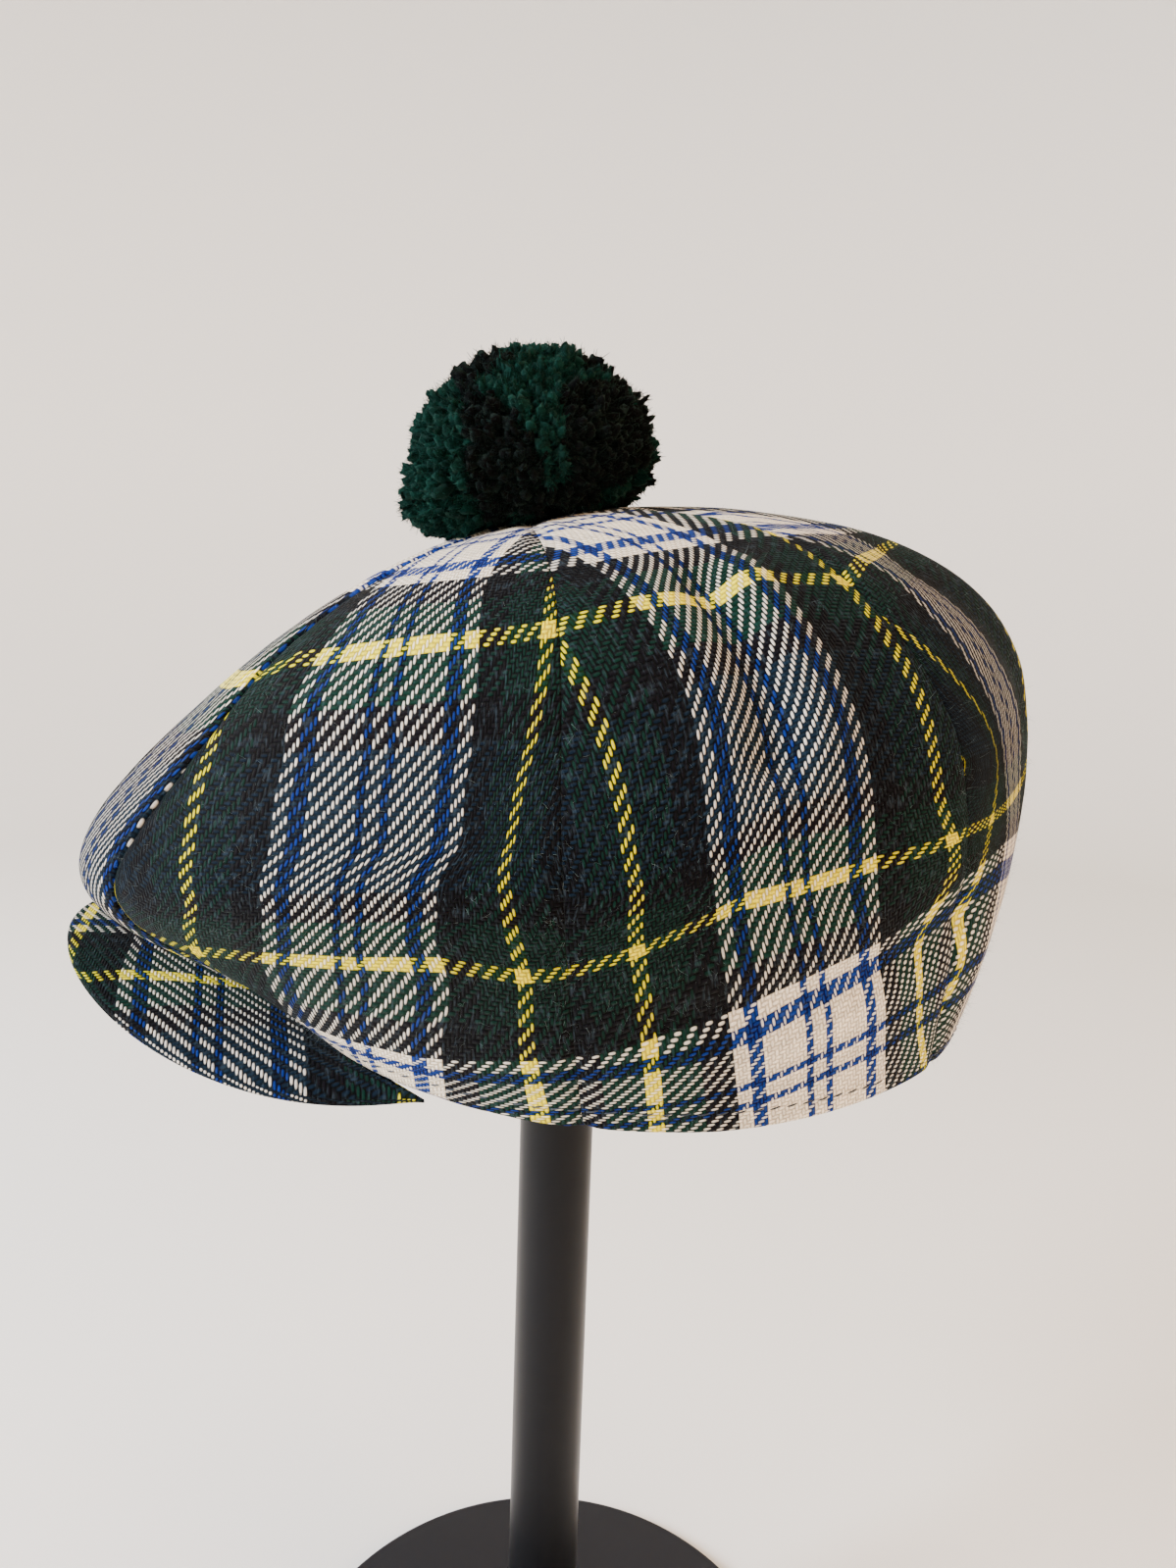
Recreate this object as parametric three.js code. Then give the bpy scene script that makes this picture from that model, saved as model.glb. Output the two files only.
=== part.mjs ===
// Tam o'shanter cap with a short peak and a yarn pompom, on a plain hat stand.
// Millimetres, +Z up, cap front towards -Y, wearer's left towards +X.
import * as THREE from 'three';

// ---- driving dimensions ----
const GAP = 0.3;              // clearance between neighbouring pieces
const CLOTH_WALL = 2.2;       // doubled wool cloth
const BUTTON_ROW = 0.02;      // row where the six panels stop round the button
const PANEL_ROWS = 26;
const PANEL_COLUMNS = [0, 0.035, 0.12, 0.24, 0.38, 0.5, 0.62, 0.76, 0.88, 0.965, 1];
const SEAM_DIP = 1.0;         // how far the cloth sinks into a seam
const SEAM_WIDTH = 3.5;
const PEAK_THICKNESS = 3.6;
const PEAK_CAMBER = 2.5;
const PEAK_SPAN = 65;         // degrees each side of the front where the peak is sewn on
const PEAK_TURN = 91;         // degrees each side where its outer edge comes back to the rim
const PEAK_HALF_WIDTH = 71;
const PEAK_REACH = 119;
const PEAK_ROOT_Y = -27;
const POLE_RADIUS = 11;
const BASE_RADIUS = 87;
const BASE_THICKNESS = 5;
const HEAD_UNDERSIDE = 344;

// One row per ring of the crown, from the button down to the rim. Each ring is an oval with its
// own front and back reach, half width, and height at the front, side and back.
const RINGS = [
  { t: 0.00, front: -10, back: -10, half: 0, zFront: 389, zSide: 389, zBack: 389 },
  { t: 0.10, front: -32, back: 12, half: 21, zFront: 384, zSide: 388, zBack: 394 },
  { t: 0.24, front: -72, back: 71, half: 57, zFront: 361, zSide: 376, zBack: 391 },
  { t: 0.42, front: -108, back: 117, half: 89, zFront: 331, zSide: 340, zBack: 365 },
  { t: 0.62, front: -134, back: 124, half: 107, zFront: 294, zSide: 312, zBack: 321 },
  { t: 0.82, front: -108, back: 118, half: 96, zFront: 272, zSide: 286, zBack: 280 },
  { t: 1.00, front: -78, back: 113, half: 80, zFront: 260, zSide: 251, zBack: 258 },
];

// Where the seams run, in degrees round the crown from the front, at the same rows.
const SEAMS = [
  { t: 0.00, leftFront: 33.0, leftSide: 92.0, leftBack: 149.0, rightSide: 92.0, rightBack: 147.0 },
  { t: 0.10, leftFront: 33.0, leftSide: 92.0, leftBack: 149.0, rightSide: 92.0, rightBack: 146.0 },
  { t: 0.24, leftFront: 32.0, leftSide: 91.5, leftBack: 137.5, rightSide: 92.0, rightBack: 144.0 },
  { t: 0.42, leftFront: 38.5, leftSide: 92.5, leftBack: 137.0, rightSide: 93.0, rightBack: 143.0 },
  { t: 0.62, leftFront: 43.5, leftSide: 98.0, leftBack: 144.0, rightSide: 95.0, rightBack: 145.0 },
  { t: 0.82, leftFront: 35.0, leftSide: 94.5, leftBack: 147.0, rightSide: 93.0, rightBack: 148.0 },
  { t: 1.00, leftFront: 32.0, leftSide: 89.0, leftBack: 150.5, rightSide: 90.0, rightBack: 150.0 },
];

// Folds and dents: a line from one place on the crown to another, its width and its depth
// (negative stands proud).
const FOLDS = [
  { name: 'left pucker hollow', from: [113.5, 0.29], to: [115.5, 0.47], width: 5.5, depth: 3.0 },
  { name: 'left pucker ridge', from: [119.5, 0.29], to: [121.0, 0.47], width: 6.5, depth: -2.2 },
  { name: 'left turn-in tuck', from: [104.0, 0.86], to: [146.0, 0.73], width: 7.0, depth: 2.0 },
  { name: 'back slump', from: [158.0, 0.32], to: [166.0, 0.50], width: 12.0, depth: 3.0 },
  { name: 'right pucker hollow', from: [-118.0, 0.30], to: [-113.0, 0.46], width: 6.0, depth: 2.4 },
  { name: 'right turn-in tuck', from: [-100.0, 0.88], to: [-142.0, 0.76], width: 7.0, depth: 1.8 },
];

// Pompom outline about its own leaning axis.
const POMPOM = { y: -9.5, z: 391, lean: 12, lump: 0.035 };
const POMPOM_ROWS = [
  { up: 0.0, radius: 24.0 },
  { up: 5.0, radius: 31.0 },
  { up: 11.0, radius: 35.0 },
  { up: 19.0, radius: 35.0 },
  { up: 27.0, radius: 32.0 },
  { up: 35.0, radius: 26.0 },
  { up: 41.0, radius: 18.0 },
  { up: 45.0, radius: 9.0 },
];

const FINISHES = {
  cloth: { color: 0x274a52, roughness: 0.95, metalness: 0 },
  yarn: { color: 0x10402f, roughness: 1, metalness: 0 },
  metal: { color: 0x15161a, roughness: 0.45, metalness: 0.6 },
};

const rad = THREE.MathUtils.degToRad;

/** Natural cubic spline through the points (ts, values). */
function spline(ts, values) {
  const n = ts.length;
  const curve = new Array(n).fill(0);
  const carry = new Array(n).fill(0);
  for (let i = 1; i < n - 1; i += 1) {
    const left = ts[i] - ts[i - 1];
    const right = ts[i + 1] - ts[i];
    const slope = (values[i + 1] - values[i]) / right - (values[i] - values[i - 1]) / left;
    const pivot = 2 * (left + right) - left * carry[i - 1];
    carry[i] = right / pivot;
    curve[i] = (6 * slope - left * curve[i - 1]) / pivot;
  }
  for (let i = n - 2; i > 0; i -= 1) {
    curve[i] -= carry[i] * curve[i + 1];
  }
  return (t) => {
    let i = 0;
    while (i < n - 2 && t > ts[i + 1]) {
      i += 1;
    }
    const span = ts[i + 1] - ts[i];
    const a = (ts[i + 1] - t) / span;
    const b = (t - ts[i]) / span;
    const bend = ((a ** 3 - a) * curve[i] + (b ** 3 - b) * curve[i + 1]) * span * span / 6;
    return a * values[i] + b * values[i + 1] + bend;
  };
}

/** A spline for every named column of a table whose rows carry t. */
function columns(rows) {
  const ts = rows.map((row) => row.t);
  const names = Object.keys(rows[0]).filter((name) => name !== 't');
  return Object.fromEntries(names.map((name) => [name, spline(ts, rows.map((row) => row[name]))]));
}

const ring = columns(RINGS);
const seam = columns(SEAMS);

/** Point of the smooth crown, phi degrees round from the front and t down from the button. */
function crownPoint(phi, t) {
  const front = ring.front(t);
  const back = ring.back(t);
  const zFront = ring.zFront(t);
  const zSide = ring.zSide(t);
  const zBack = ring.zBack(t);
  const turn = rad(phi);
  const z = (zFront + zBack + 2 * zSide) / 4
    + (zFront - zBack) / 2 * Math.cos(turn)
    + (zFront + zBack - 2 * zSide) / 4 * Math.cos(2 * turn);
  const y = (front + back) / 2 - (back - front) / 2 * Math.cos(turn);
  return new THREE.Vector3(ring.half(t) * Math.sin(turn), y, z);
}

/** How fast the crown point moves per degree round the crown. */
function mmPerDegree(phi, t) {
  return crownPoint(phi + 0.5, t).distanceTo(crownPoint(phi - 0.5, t));
}

/** Outward direction of the smooth crown. */
function crownNormal(phi, t) {
  const step = 0.004;
  const round = crownPoint(phi + 0.5, t).sub(crownPoint(phi - 0.5, t));
  const down = crownPoint(phi, Math.min(1, t + step)).sub(crownPoint(phi, t - step));
  return down.cross(round).normalize();
}

const foldPaths = FOLDS.map((fold) => {
  const steps = 8;
  const path = [];
  for (let i = 0; i <= steps; i += 1) {
    const [phi, t] = fold.from.map((value, k) => value + (fold.to[k] - value) * i / steps);
    path.push(crownPoint(phi, t));
  }
  return { ...fold, path };
});

/** How far the cloth sinks at a point because of the folds and dents. */
function foldDepth(point) {
  let sink = 0;
  const near = new THREE.Vector3();
  for (const { path, width, depth } of foldPaths) {
    let best = Infinity;
    for (let i = 0; i < path.length - 1; i += 1) {
      new THREE.Line3(path[i], path[i + 1]).closestPointToPoint(point, true, near);
      best = Math.min(best, near.distanceTo(point));
    }
    sink += depth * Math.exp(-((best / width) ** 2));
  }
  return sink;
}

/** A closed geometry from points and triangles. */
function solid(points, triangles) {
  const geometry = new THREE.BufferGeometry();
  geometry.setAttribute('position', new THREE.Float32BufferAttribute(
    points.flatMap((point) => [point.x, point.y, point.z]), 3));
  geometry.setIndex(triangles.flat());
  geometry.computeVertexNormals();
  return geometry;
}

/** A wall between two grids of the same size; the rows of `outer` run down, columns left. */
function wall(outer, inner) {
  const rows = outer.length;
  const cols = outer[0].length;
  const points = [...outer.flat(), ...inner.flat()];
  const shift = rows * cols;
  const at = (row, col) => row * cols + col;
  const triangles = [];
  const quad = (a, b, c, d) => triangles.push([a, b, c], [a, c, d]);
  for (let row = 0; row < rows - 1; row += 1) {
    for (let col = 0; col < cols - 1; col += 1) {
      const corners = [at(row, col), at(row + 1, col), at(row + 1, col + 1), at(row, col + 1)];
      quad(...corners);
      quad(...corners.reverse().map((corner) => corner + shift));
    }
  }
  for (let col = 0; col < cols - 1; col += 1) {
    const top = [at(0, col), at(0, col + 1)];
    const low = [at(rows - 1, col), at(rows - 1, col + 1)];
    quad(top[0], top[1], top[1] + shift, top[0] + shift);
    quad(low[1], low[0], low[0] + shift, low[1] + shift);
  }
  for (let row = 0; row < rows - 1; row += 1) {
    const left = [at(row, 0), at(row + 1, 0)];
    const right = [at(row, cols - 1), at(row + 1, cols - 1)];
    quad(left[1], left[0], left[0] + shift, left[1] + shift);
    quad(right[0], right[1], right[1] + shift, right[0] + shift);
  }
  return solid(points, triangles);
}

/** One crown panel between two seam angles that change with the row. */
function panel(startAt, endAt) {
  const outer = [];
  const inner = [];
  for (let i = 0; i <= PANEL_ROWS; i += 1) {
    const t = BUTTON_ROW + (1 - BUTTON_ROW) * i / PANEL_ROWS;
    const start = startAt(t) + GAP / 2 / mmPerDegree(startAt(t), t);
    const end = endAt(t) - GAP / 2 / mmPerDegree(endAt(t), t);
    const outerRow = [];
    const innerRow = [];
    for (const share of PANEL_COLUMNS) {
      const phi = start + (end - start) * share;
      const point = crownPoint(phi, t);
      const normal = crownNormal(phi, t);
      const edge = Math.min(share, 1 - share) * (end - start) * mmPerDegree(phi, t);
      const sink = foldDepth(point) + SEAM_DIP * Math.exp(-((edge / SEAM_WIDTH) ** 2));
      outerRow.push(point.clone().addScaledVector(normal, -sink));
      innerRow.push(point.clone().addScaledVector(normal, -sink - CLOTH_WALL));
    }
    outer.push(outerRow);
    inner.push(innerRow);
  }
  return wall(outer, inner);
}

/** Outer edge of the peak, turn from -90 degrees (wearer's right) to 90. */
function peakEdge(turn) {
  const sine = Math.sin(rad(turn));
  const cosine = Math.cos(rad(turn));
  return new THREE.Vector3(
    PEAK_HALF_WIDTH * Math.sign(sine) * Math.abs(sine) ** 0.91,
    PEAK_ROOT_Y - PEAK_REACH * cosine,
    270 - 20 * cosine + 21 * Math.cos(2 * rad(turn)),
  );
}

/** The stiff cloth-covered peak, sewn on under the front of the rim. */
function peak() {
  const steps = 20;
  const rows = 7;
  const upper = [];
  const lower = [];
  for (let i = 0; i <= rows; i += 1) {
    const out = i / rows;
    const thin = 0.5 * PEAK_THICKNESS * (i === rows ? 0.45 : 1);
    const upperRow = [];
    const lowerRow = [];
    for (let j = 0; j <= steps; j += 1) {
      const side = 2 * j / steps - 1;
      const root = crownPoint(PEAK_SPAN * side, 1);
      root.z -= GAP + 0.2 + PEAK_THICKNESS / 2;
      const middle = root.lerp(peakEdge(PEAK_TURN * side), out);
      middle.z += PEAK_CAMBER * 4 * out * (1 - out) * (1 - side * side);
      upperRow.push(middle.clone().add(new THREE.Vector3(0, 0, thin)));
      lowerRow.push(middle.clone().add(new THREE.Vector3(0, 0, -thin)));
    }
    upper.push(upperRow);
    lower.push(lowerRow);
  }
  return wall(upper, lower);
}

/** A body of revolution about Z from rows of [radius, z] that start and end on the axis. */
function turned(profile, segments, shape = (point) => point) {
  const points = [];
  const triangles = [];
  const rings = profile.slice(1, -1);
  points.push(shape(new THREE.Vector3(0, 0, profile[0][1])));
  for (const [radius, z] of rings) {
    for (let j = 0; j < segments; j += 1) {
      const turn = 2 * Math.PI * j / segments;
      points.push(shape(new THREE.Vector3(radius * Math.cos(turn), radius * Math.sin(turn), z)));
    }
  }
  points.push(shape(new THREE.Vector3(0, 0, profile.at(-1)[1])));
  const last = points.length - 1;
  for (let j = 0; j < segments; j += 1) {
    const next = (j + 1) % segments;
    triangles.push([0, 1 + next, 1 + j]);
    for (let i = 0; i < rings.length - 1; i += 1) {
      const low = 1 + i * segments;
      const high = low + segments;
      triangles.push([low + j, low + next, high + next], [low + j, high + next, high + j]);
    }
    const top = last - segments;
    triangles.push([top + j, top + next, last]);
  }
  return solid(points, triangles);
}

/** The pompom: a lumpy dome that leans with the top of the crown. */
function pompom() {
  const lean = new THREE.Matrix4().makeRotationX(rad(POMPOM.lean));
  const place = (point) => {
    const turn = Math.atan2(point.y, point.x);
    const lump = Math.sin(5 * turn + point.z * 0.21) + Math.sin(3 * turn - point.z * 0.13 + 1.2);
    const reach = 1 + POMPOM.lump * lump * Math.min(1, point.z / 8);
    return new THREE.Vector3(point.x * reach, point.y * reach, point.z)
      .applyMatrix4(lean)
      .add(new THREE.Vector3(0, POMPOM.y, POMPOM.z));
  };
  const rows = POMPOM_ROWS.map((row) => [row.radius, row.up]);
  return turned([[0, 0], ...rows, [0, 46.5]], 24, place);
}

const seamAt = {
  leftFront: seam.leftFront,
  leftSide: seam.leftSide,
  leftBack: seam.leftBack,
  rightBack: (t) => 360 - seam.rightBack(t),
  rightSide: (t) => 360 - seam.rightSide(t),
  rightFront: (t) => 360 - seam.leftFront(t),
};

const group = new THREE.Group();
group.name = 'tam_o_shanter_on_stand';

/** Adds one named piece to the part. */
function add(name, geometry, finish) {
  const mesh = new THREE.Mesh(geometry, new THREE.MeshStandardMaterial(FINISHES[finish]));
  mesh.name = name;
  group.add(mesh);
}

add('panel_front', panel((t) => -seam.leftFront(t), seamAt.leftFront), 'cloth');
add('panel_left_front', panel(seamAt.leftFront, seamAt.leftSide), 'cloth');
add('panel_left_back', panel(seamAt.leftSide, seamAt.leftBack), 'cloth');
add('panel_back', panel(seamAt.leftBack, seamAt.rightBack), 'cloth');
add('panel_right_back', panel(seamAt.rightBack, seamAt.rightSide), 'cloth');
add('panel_right_front', panel(seamAt.rightSide, seamAt.rightFront), 'cloth');
add('peak', peak(), 'cloth');
add('pompom', pompom(), 'yarn');

const edge = BASE_THICKNESS - 1.5;
add('stand_base', turned([
  [0, 0], [BASE_RADIUS - 1, 0], [BASE_RADIUS, 1], [BASE_RADIUS, edge],
  [BASE_RADIUS - 1.5, BASE_THICKNESS], [0, BASE_THICKNESS],
], 64), 'metal');
add('stand_pole', turned([
  [0, BASE_THICKNESS + GAP], [POLE_RADIUS, BASE_THICKNESS + GAP],
  [POLE_RADIUS, HEAD_UNDERSIDE - GAP], [0, HEAD_UNDERSIDE - GAP],
], 32), 'metal');
add('stand_head', turned([
  [0, HEAD_UNDERSIDE], [46, HEAD_UNDERSIDE], [50, HEAD_UNDERSIDE + 4], [44, HEAD_UNDERSIDE + 15],
  [32, HEAD_UNDERSIDE + 27], [17, HEAD_UNDERSIDE + 35], [0, HEAD_UNDERSIDE + 38],
], 40), 'metal');

export default group;
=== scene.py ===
"""Tartan tam o'shanter with a short peak and a yarn pompom, on its plain hat stand.

Metres, +Z up, cap front towards -Y, wearer's left towards +X. Sizes in the tables are millimetres.
"""
import logging
import math
from dataclasses import dataclass
from enum import Enum
from typing import Any, Callable, Optional, Sequence

import bmesh
import bpy
import numpy as np
from mathutils import Matrix, Quaternion, Vector, noise


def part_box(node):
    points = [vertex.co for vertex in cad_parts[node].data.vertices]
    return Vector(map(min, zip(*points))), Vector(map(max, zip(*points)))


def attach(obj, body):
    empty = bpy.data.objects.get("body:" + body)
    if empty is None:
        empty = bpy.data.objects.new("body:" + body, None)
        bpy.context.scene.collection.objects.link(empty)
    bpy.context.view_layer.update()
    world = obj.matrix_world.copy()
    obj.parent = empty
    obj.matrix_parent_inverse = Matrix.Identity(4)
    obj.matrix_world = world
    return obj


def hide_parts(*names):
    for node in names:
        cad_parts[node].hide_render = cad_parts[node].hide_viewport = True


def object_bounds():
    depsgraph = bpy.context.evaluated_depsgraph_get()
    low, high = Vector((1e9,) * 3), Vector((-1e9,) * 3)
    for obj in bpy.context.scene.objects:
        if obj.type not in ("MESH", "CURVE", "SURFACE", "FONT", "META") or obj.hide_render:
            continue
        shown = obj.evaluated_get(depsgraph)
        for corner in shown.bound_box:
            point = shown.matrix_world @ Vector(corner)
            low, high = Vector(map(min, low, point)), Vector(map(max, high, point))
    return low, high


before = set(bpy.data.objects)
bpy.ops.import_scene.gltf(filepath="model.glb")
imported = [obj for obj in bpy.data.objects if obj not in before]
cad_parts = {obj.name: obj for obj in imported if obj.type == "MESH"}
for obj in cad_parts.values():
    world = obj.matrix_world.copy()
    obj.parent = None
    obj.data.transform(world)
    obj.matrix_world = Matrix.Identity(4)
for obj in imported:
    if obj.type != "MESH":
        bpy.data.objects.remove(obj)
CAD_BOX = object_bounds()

LOG = logging.getLogger("tam")
MM = 0.001
BODY = "root"
THREAD_PITCH = 0.95       # mm from one thread to the next
CLOTH_UV = "cloth"        # the UV map that counts threads
WARP_COUNTS = (-44.0, -24.0, 24.0, 44.0)   # threads at the yellow lines and the pale block's edges
CROWN_LENGTH = 220.0      # mm down the cloth from button to rim, about the same on every panel
SAME_POINT = 1e-6         # m, points closer than this are merged
Array = np.ndarray


class Slot(Enum):
    """Names for three finishes; nothing in this script gives them to a piece."""

    WOOL = "tartan_wool"
    YARN = "pompom_yarn"
    METAL = "stand_metal"


# ---------------------------------------------------------------- numbers

class Spline:
    """Natural cubic spline through a short table."""

    def __init__(self, ts: Sequence[float], values: Sequence[float]) -> None:
        """Solves the bends.

        Args:
            ts: rising places.
            values: value at each place.
        """
        self.ts, self.values = np.array(ts, float), np.array(values, float)
        n, step = len(ts), np.diff(self.ts)
        system, right = np.eye(n), np.zeros(n)
        slope = np.diff(self.values) / step
        for i in range(1, n - 1):
            system[i, i - 1:i + 2] = step[i - 1], 2 * (step[i - 1] + step[i]), step[i]
            right[i] = 6 * (slope[i] - slope[i - 1])
        self.bend = np.linalg.solve(system, right)

    def __call__(self, t: Array) -> Array:
        """Reads the curve.

        Args:
            t: places.

        Returns:
            The value at each place.
        """
        i = np.clip(np.searchsorted(self.ts, t) - 1, 0, len(self.ts) - 2)
        span = self.ts[i + 1] - self.ts[i]
        a, b = (self.ts[i + 1] - t) / span, (t - self.ts[i]) / span
        bend = ((a ** 3 - a) * self.bend[i] + (b ** 3 - b) * self.bend[i + 1]) * span ** 2 / 6
        return a * self.values[i] + b * self.values[i + 1] + bend


def rising_curve(xs: Array, ys: Array, x: Array) -> Array:
    """Monotone cubic through knots that differ from place to place, straight past its ends.

    Args:
        xs: knots, places by knots.
        ys: values, places by knots.
        x: where to read, one for each place.

    Returns:
        One value for each place.
    """
    step = np.maximum(np.diff(xs, axis=1), 1e-6)
    slope = np.diff(ys, axis=1) / step
    left, right = slope[:, :-1], slope[:, 1:]
    product = left * right
    middle = np.where(product > 0, 2 * product / np.where(product > 0, left + right, 1), 0)
    tangent = np.concatenate([slope[:, :1], middle, slope[:, -1:]], axis=1)
    i = np.clip((xs <= x[:, None]).sum(1) - 1, 0, xs.shape[1] - 2)[:, None]
    take = np.take_along_axis
    x0, h = take(xs, i, 1)[:, 0], take(step, i, 1)[:, 0]
    y0, y1 = take(ys, i, 1)[:, 0], take(ys, i + 1, 1)[:, 0]
    m0, m1 = take(tangent, i, 1)[:, 0], take(tangent, i + 1, 1)[:, 0]
    raw = (x - x0) / h
    u = np.clip(raw, 0, 1)
    inside = (y0 * (1 + 2 * u) * (1 - u) ** 2 + m0 * h * u * (1 - u) ** 2
              + y1 * u * u * (3 - 2 * u) + m1 * h * u * u * (u - 1))
    return inside + np.minimum(raw, 0) * h * m0 + np.maximum(raw - 1, 0) * h * m1


def soft_noise(points: Array, size: float, seed: float) -> Array:
    """Smooth noise from about -1 to 1.

    Args:
        points: places in mm, n by 3.
        size: mm across one bump.
        seed: shifts the pattern.

    Returns:
        One value for each place.
    """
    shift = Vector((seed, seed * 1.7, -seed))
    return np.array([noise.noise(Vector(p) / size + shift) for p in points])


def unit(vectors: Array) -> Array:
    """The vectors at length one."""
    return vectors / np.maximum(np.linalg.norm(vectors, axis=-1, keepdims=True), 1e-9)


# ---------------------------------------------------------------- materials

def srgb(code: str) -> tuple[float, float, float, float]:
    """Linear colour of an sRGB hex code.

    Args:
        code: six hex digits.

    Returns:
        Red, green, blue and an alpha of one.
    """
    parts = [int(code[i:i + 2], 16) / 255 for i in (0, 2, 4)]
    linear = [c / 12.92 if c <= 0.04045 else ((c + 0.055) / 1.055) ** 2.4 for c in parts]
    return (*linear, 1.0)


def add_node(tree: bpy.types.NodeTree, kind: str, inputs: Optional[dict[Any, Any]] = None,
             **settings: Any) -> bpy.types.Node:
    """Adds a node with its settings and links.

    Args:
        tree: node tree that takes it.
        kind: node type without its ShaderNode prefix.
        inputs: value, or socket to link, for each input.
        **settings: properties of the node itself.

    Returns:
        The node.
    """
    node = tree.nodes.new("ShaderNode" + kind)
    for name, value in settings.items():
        setattr(node, name, value)
    for key, value in (inputs or {}).items():
        if isinstance(value, bpy.types.NodeSocket):
            tree.links.new(value, node.inputs[key])
        else:
            node.inputs[key].default_value = value
    return node


def new_material(name: str) -> tuple[bpy.types.Material, bpy.types.NodeTree]:
    """Makes an empty node material.

    Args:
        name: name of the material.

    Returns:
        The material and its tree.
    """
    material = bpy.data.materials.new(name)
    material.use_nodes = True
    material.node_tree.nodes.clear()
    return material, material.node_tree


def close_material(tree: bpy.types.NodeTree, inputs: dict[Any, Any]) -> None:
    """Ends a tree in one principled shader with these inputs."""
    shader = add_node(tree, "BsdfPrincipled", inputs)
    add_node(tree, "OutputMaterial", {"Surface": shader.outputs[0]})


@dataclass(frozen=True)
class TartanWool:
    """2/2 twill of woollen yarn, brushed a little: matt, with a soft bloom where it turns away."""

    # Threads of half the sett, from the middle of the pale block to the middle of the navy one.
    sett: tuple[tuple[str, int], ...] = (
        ("ivory", 2), ("blue", 2), ("ivory", 12), ("blue", 4), ("ivory", 4), ("black", 8),
        ("green", 10), ("yellow", 4), ("green", 10), ("black", 8), ("navy", 16))
    dyes: tuple[tuple[str, str], ...] = (
        ("ivory", "F8EEDC"), ("blue", "12307E"), ("black", "0B080D"), ("green", "07281F"),
        ("yellow", "EEDF08"), ("navy", "0A1926"))
    wander: float = 0.7       # threads that the weave strays from straight
    relief: float = 0.38      # mm, height of a float over the threads beside it
    bleed: float = 0.34       # share of the painted gap shade kept on a float's crest, where it takes on the tone of the thread below it

    def build(self) -> bpy.types.Material:
        """Makes the cloth.

        Returns:
            A material that reads the thread counts of the piece's own UV map.
        """
        material, tree = new_material("twill_woven_wool_tartan")
        place = add_node(tree, "TexCoord").outputs["Object"]
        uneven = add_node(tree, "TexNoise", {"Vector": place, "Scale": 90.0, "Detail": 1.0})
        shifted = add_node(tree, "VectorMath", {0: uneven.outputs["Color"], 1: (0.5, 0.5, 0.5)},
                           operation="SUBTRACT")
        counted = add_node(tree, "VectorMath", {
            0: shifted.outputs[0], 1: (self.wander, self.wander, 0.0),
            2: add_node(tree, "UVMap", uv_map=CLOTH_UV).outputs[0]}, operation="MULTIPLY_ADD")
        split = add_node(tree, "SeparateXYZ", {0: counted.outputs[0]})
        whole, part = {}, {}
        for axis in "XY":
            for share, operation in ((whole, "FLOOR"), (part, "FRACT")):
                share[axis] = add_node(tree, "Math", {0: split.outputs[axis]},
                                       operation=operation).outputs[0]
        step = {}
        for axis, other in (("X", "Y"), ("Y", "X")):
            total = add_node(tree, "Math", {0: whole[axis], 1: split.outputs[other]},
                             operation="ADD")
            step[axis] = add_node(tree, "Math", {0: total.outputs[0], 1: 4.0},
                                  operation="FLOORED_MODULO").outputs[0]
        warp_up = add_node(tree, "Math", {0: step["X"], 1: 2.0}, operation="LESS_THAN").outputs[0]

        over = self.thread_colour(tree, warp_up, whole["Y"], whole["X"])
        under = self.thread_colour(tree, warp_up, whole["X"], whole["Y"])
        across = add_node(tree, "Mix", {0: warp_up, 2: part["Y"], 3: part["X"]}).outputs[0]
        weft_run = add_node(tree, "Math", {0: step["Y"], 1: 2.0}, operation="SUBTRACT").outputs[0]
        along = add_node(tree, "Mix", {0: warp_up, 2: weft_run, 3: step["X"]}).outputs[0]
        rounds = []
        for value, turn in ((across, math.pi), (along, math.pi / 2)):
            angle = add_node(tree, "Math", {0: value, 1: turn}, operation="MULTIPLY")
            rounds.append(add_node(tree, "Math", {0: angle.outputs[0]},
                                   operation="SINE").outputs[0])
        crest = add_node(tree, "Math", {0: rounds[1], 1: 0.7, 2: 0.3}, operation="MULTIPLY_ADD")
        float_height = add_node(tree, "Math", {0: rounds[0], 1: crest.outputs[0]},
                                operation="MULTIPLY").outputs[0]

        fibre = add_node(tree, "TexNoise", {"Vector": place, "Scale": 2600.0, "Detail": 2.0})
        # Painted shade in the gaps: the threads shade each other there, so the darker one shows;
        # pale on pale stays soft.
        gap = add_node(tree, "MapRange", {0: float_height, 1: 0.28, 2: 0.66, 3: 1.0, 4: 0.0})
        share = add_node(tree, "MapRange", {0: gap.outputs[0], 3: self.bleed, 4: 1.0})
        seen = add_node(tree, "Mix", {0: share.outputs[0], 6: over, 7: under}, data_type="RGBA",
                        blend_type="MULTIPLY")
        # Painted shade: the gaps between floats are darkened to 0.6 of their colour.
        depth = add_node(tree, "MapRange", {0: gap.outputs[0], 3: 1.0, 4: 0.60})
        spun = add_node(tree, "MapRange", {0: fibre.outputs[0], 1: 0.25, 2: 0.75, 3: 0.76, 4: 1.22})
        shade = add_node(tree, "Math", {0: depth.outputs[0], 1: spun.outputs[0]},
                         operation="MULTIPLY")
        toned = add_node(tree, "VectorMath", {0: seen.outputs[2], "Scale": shade.outputs[0]},
                         operation="SCALE")
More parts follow.
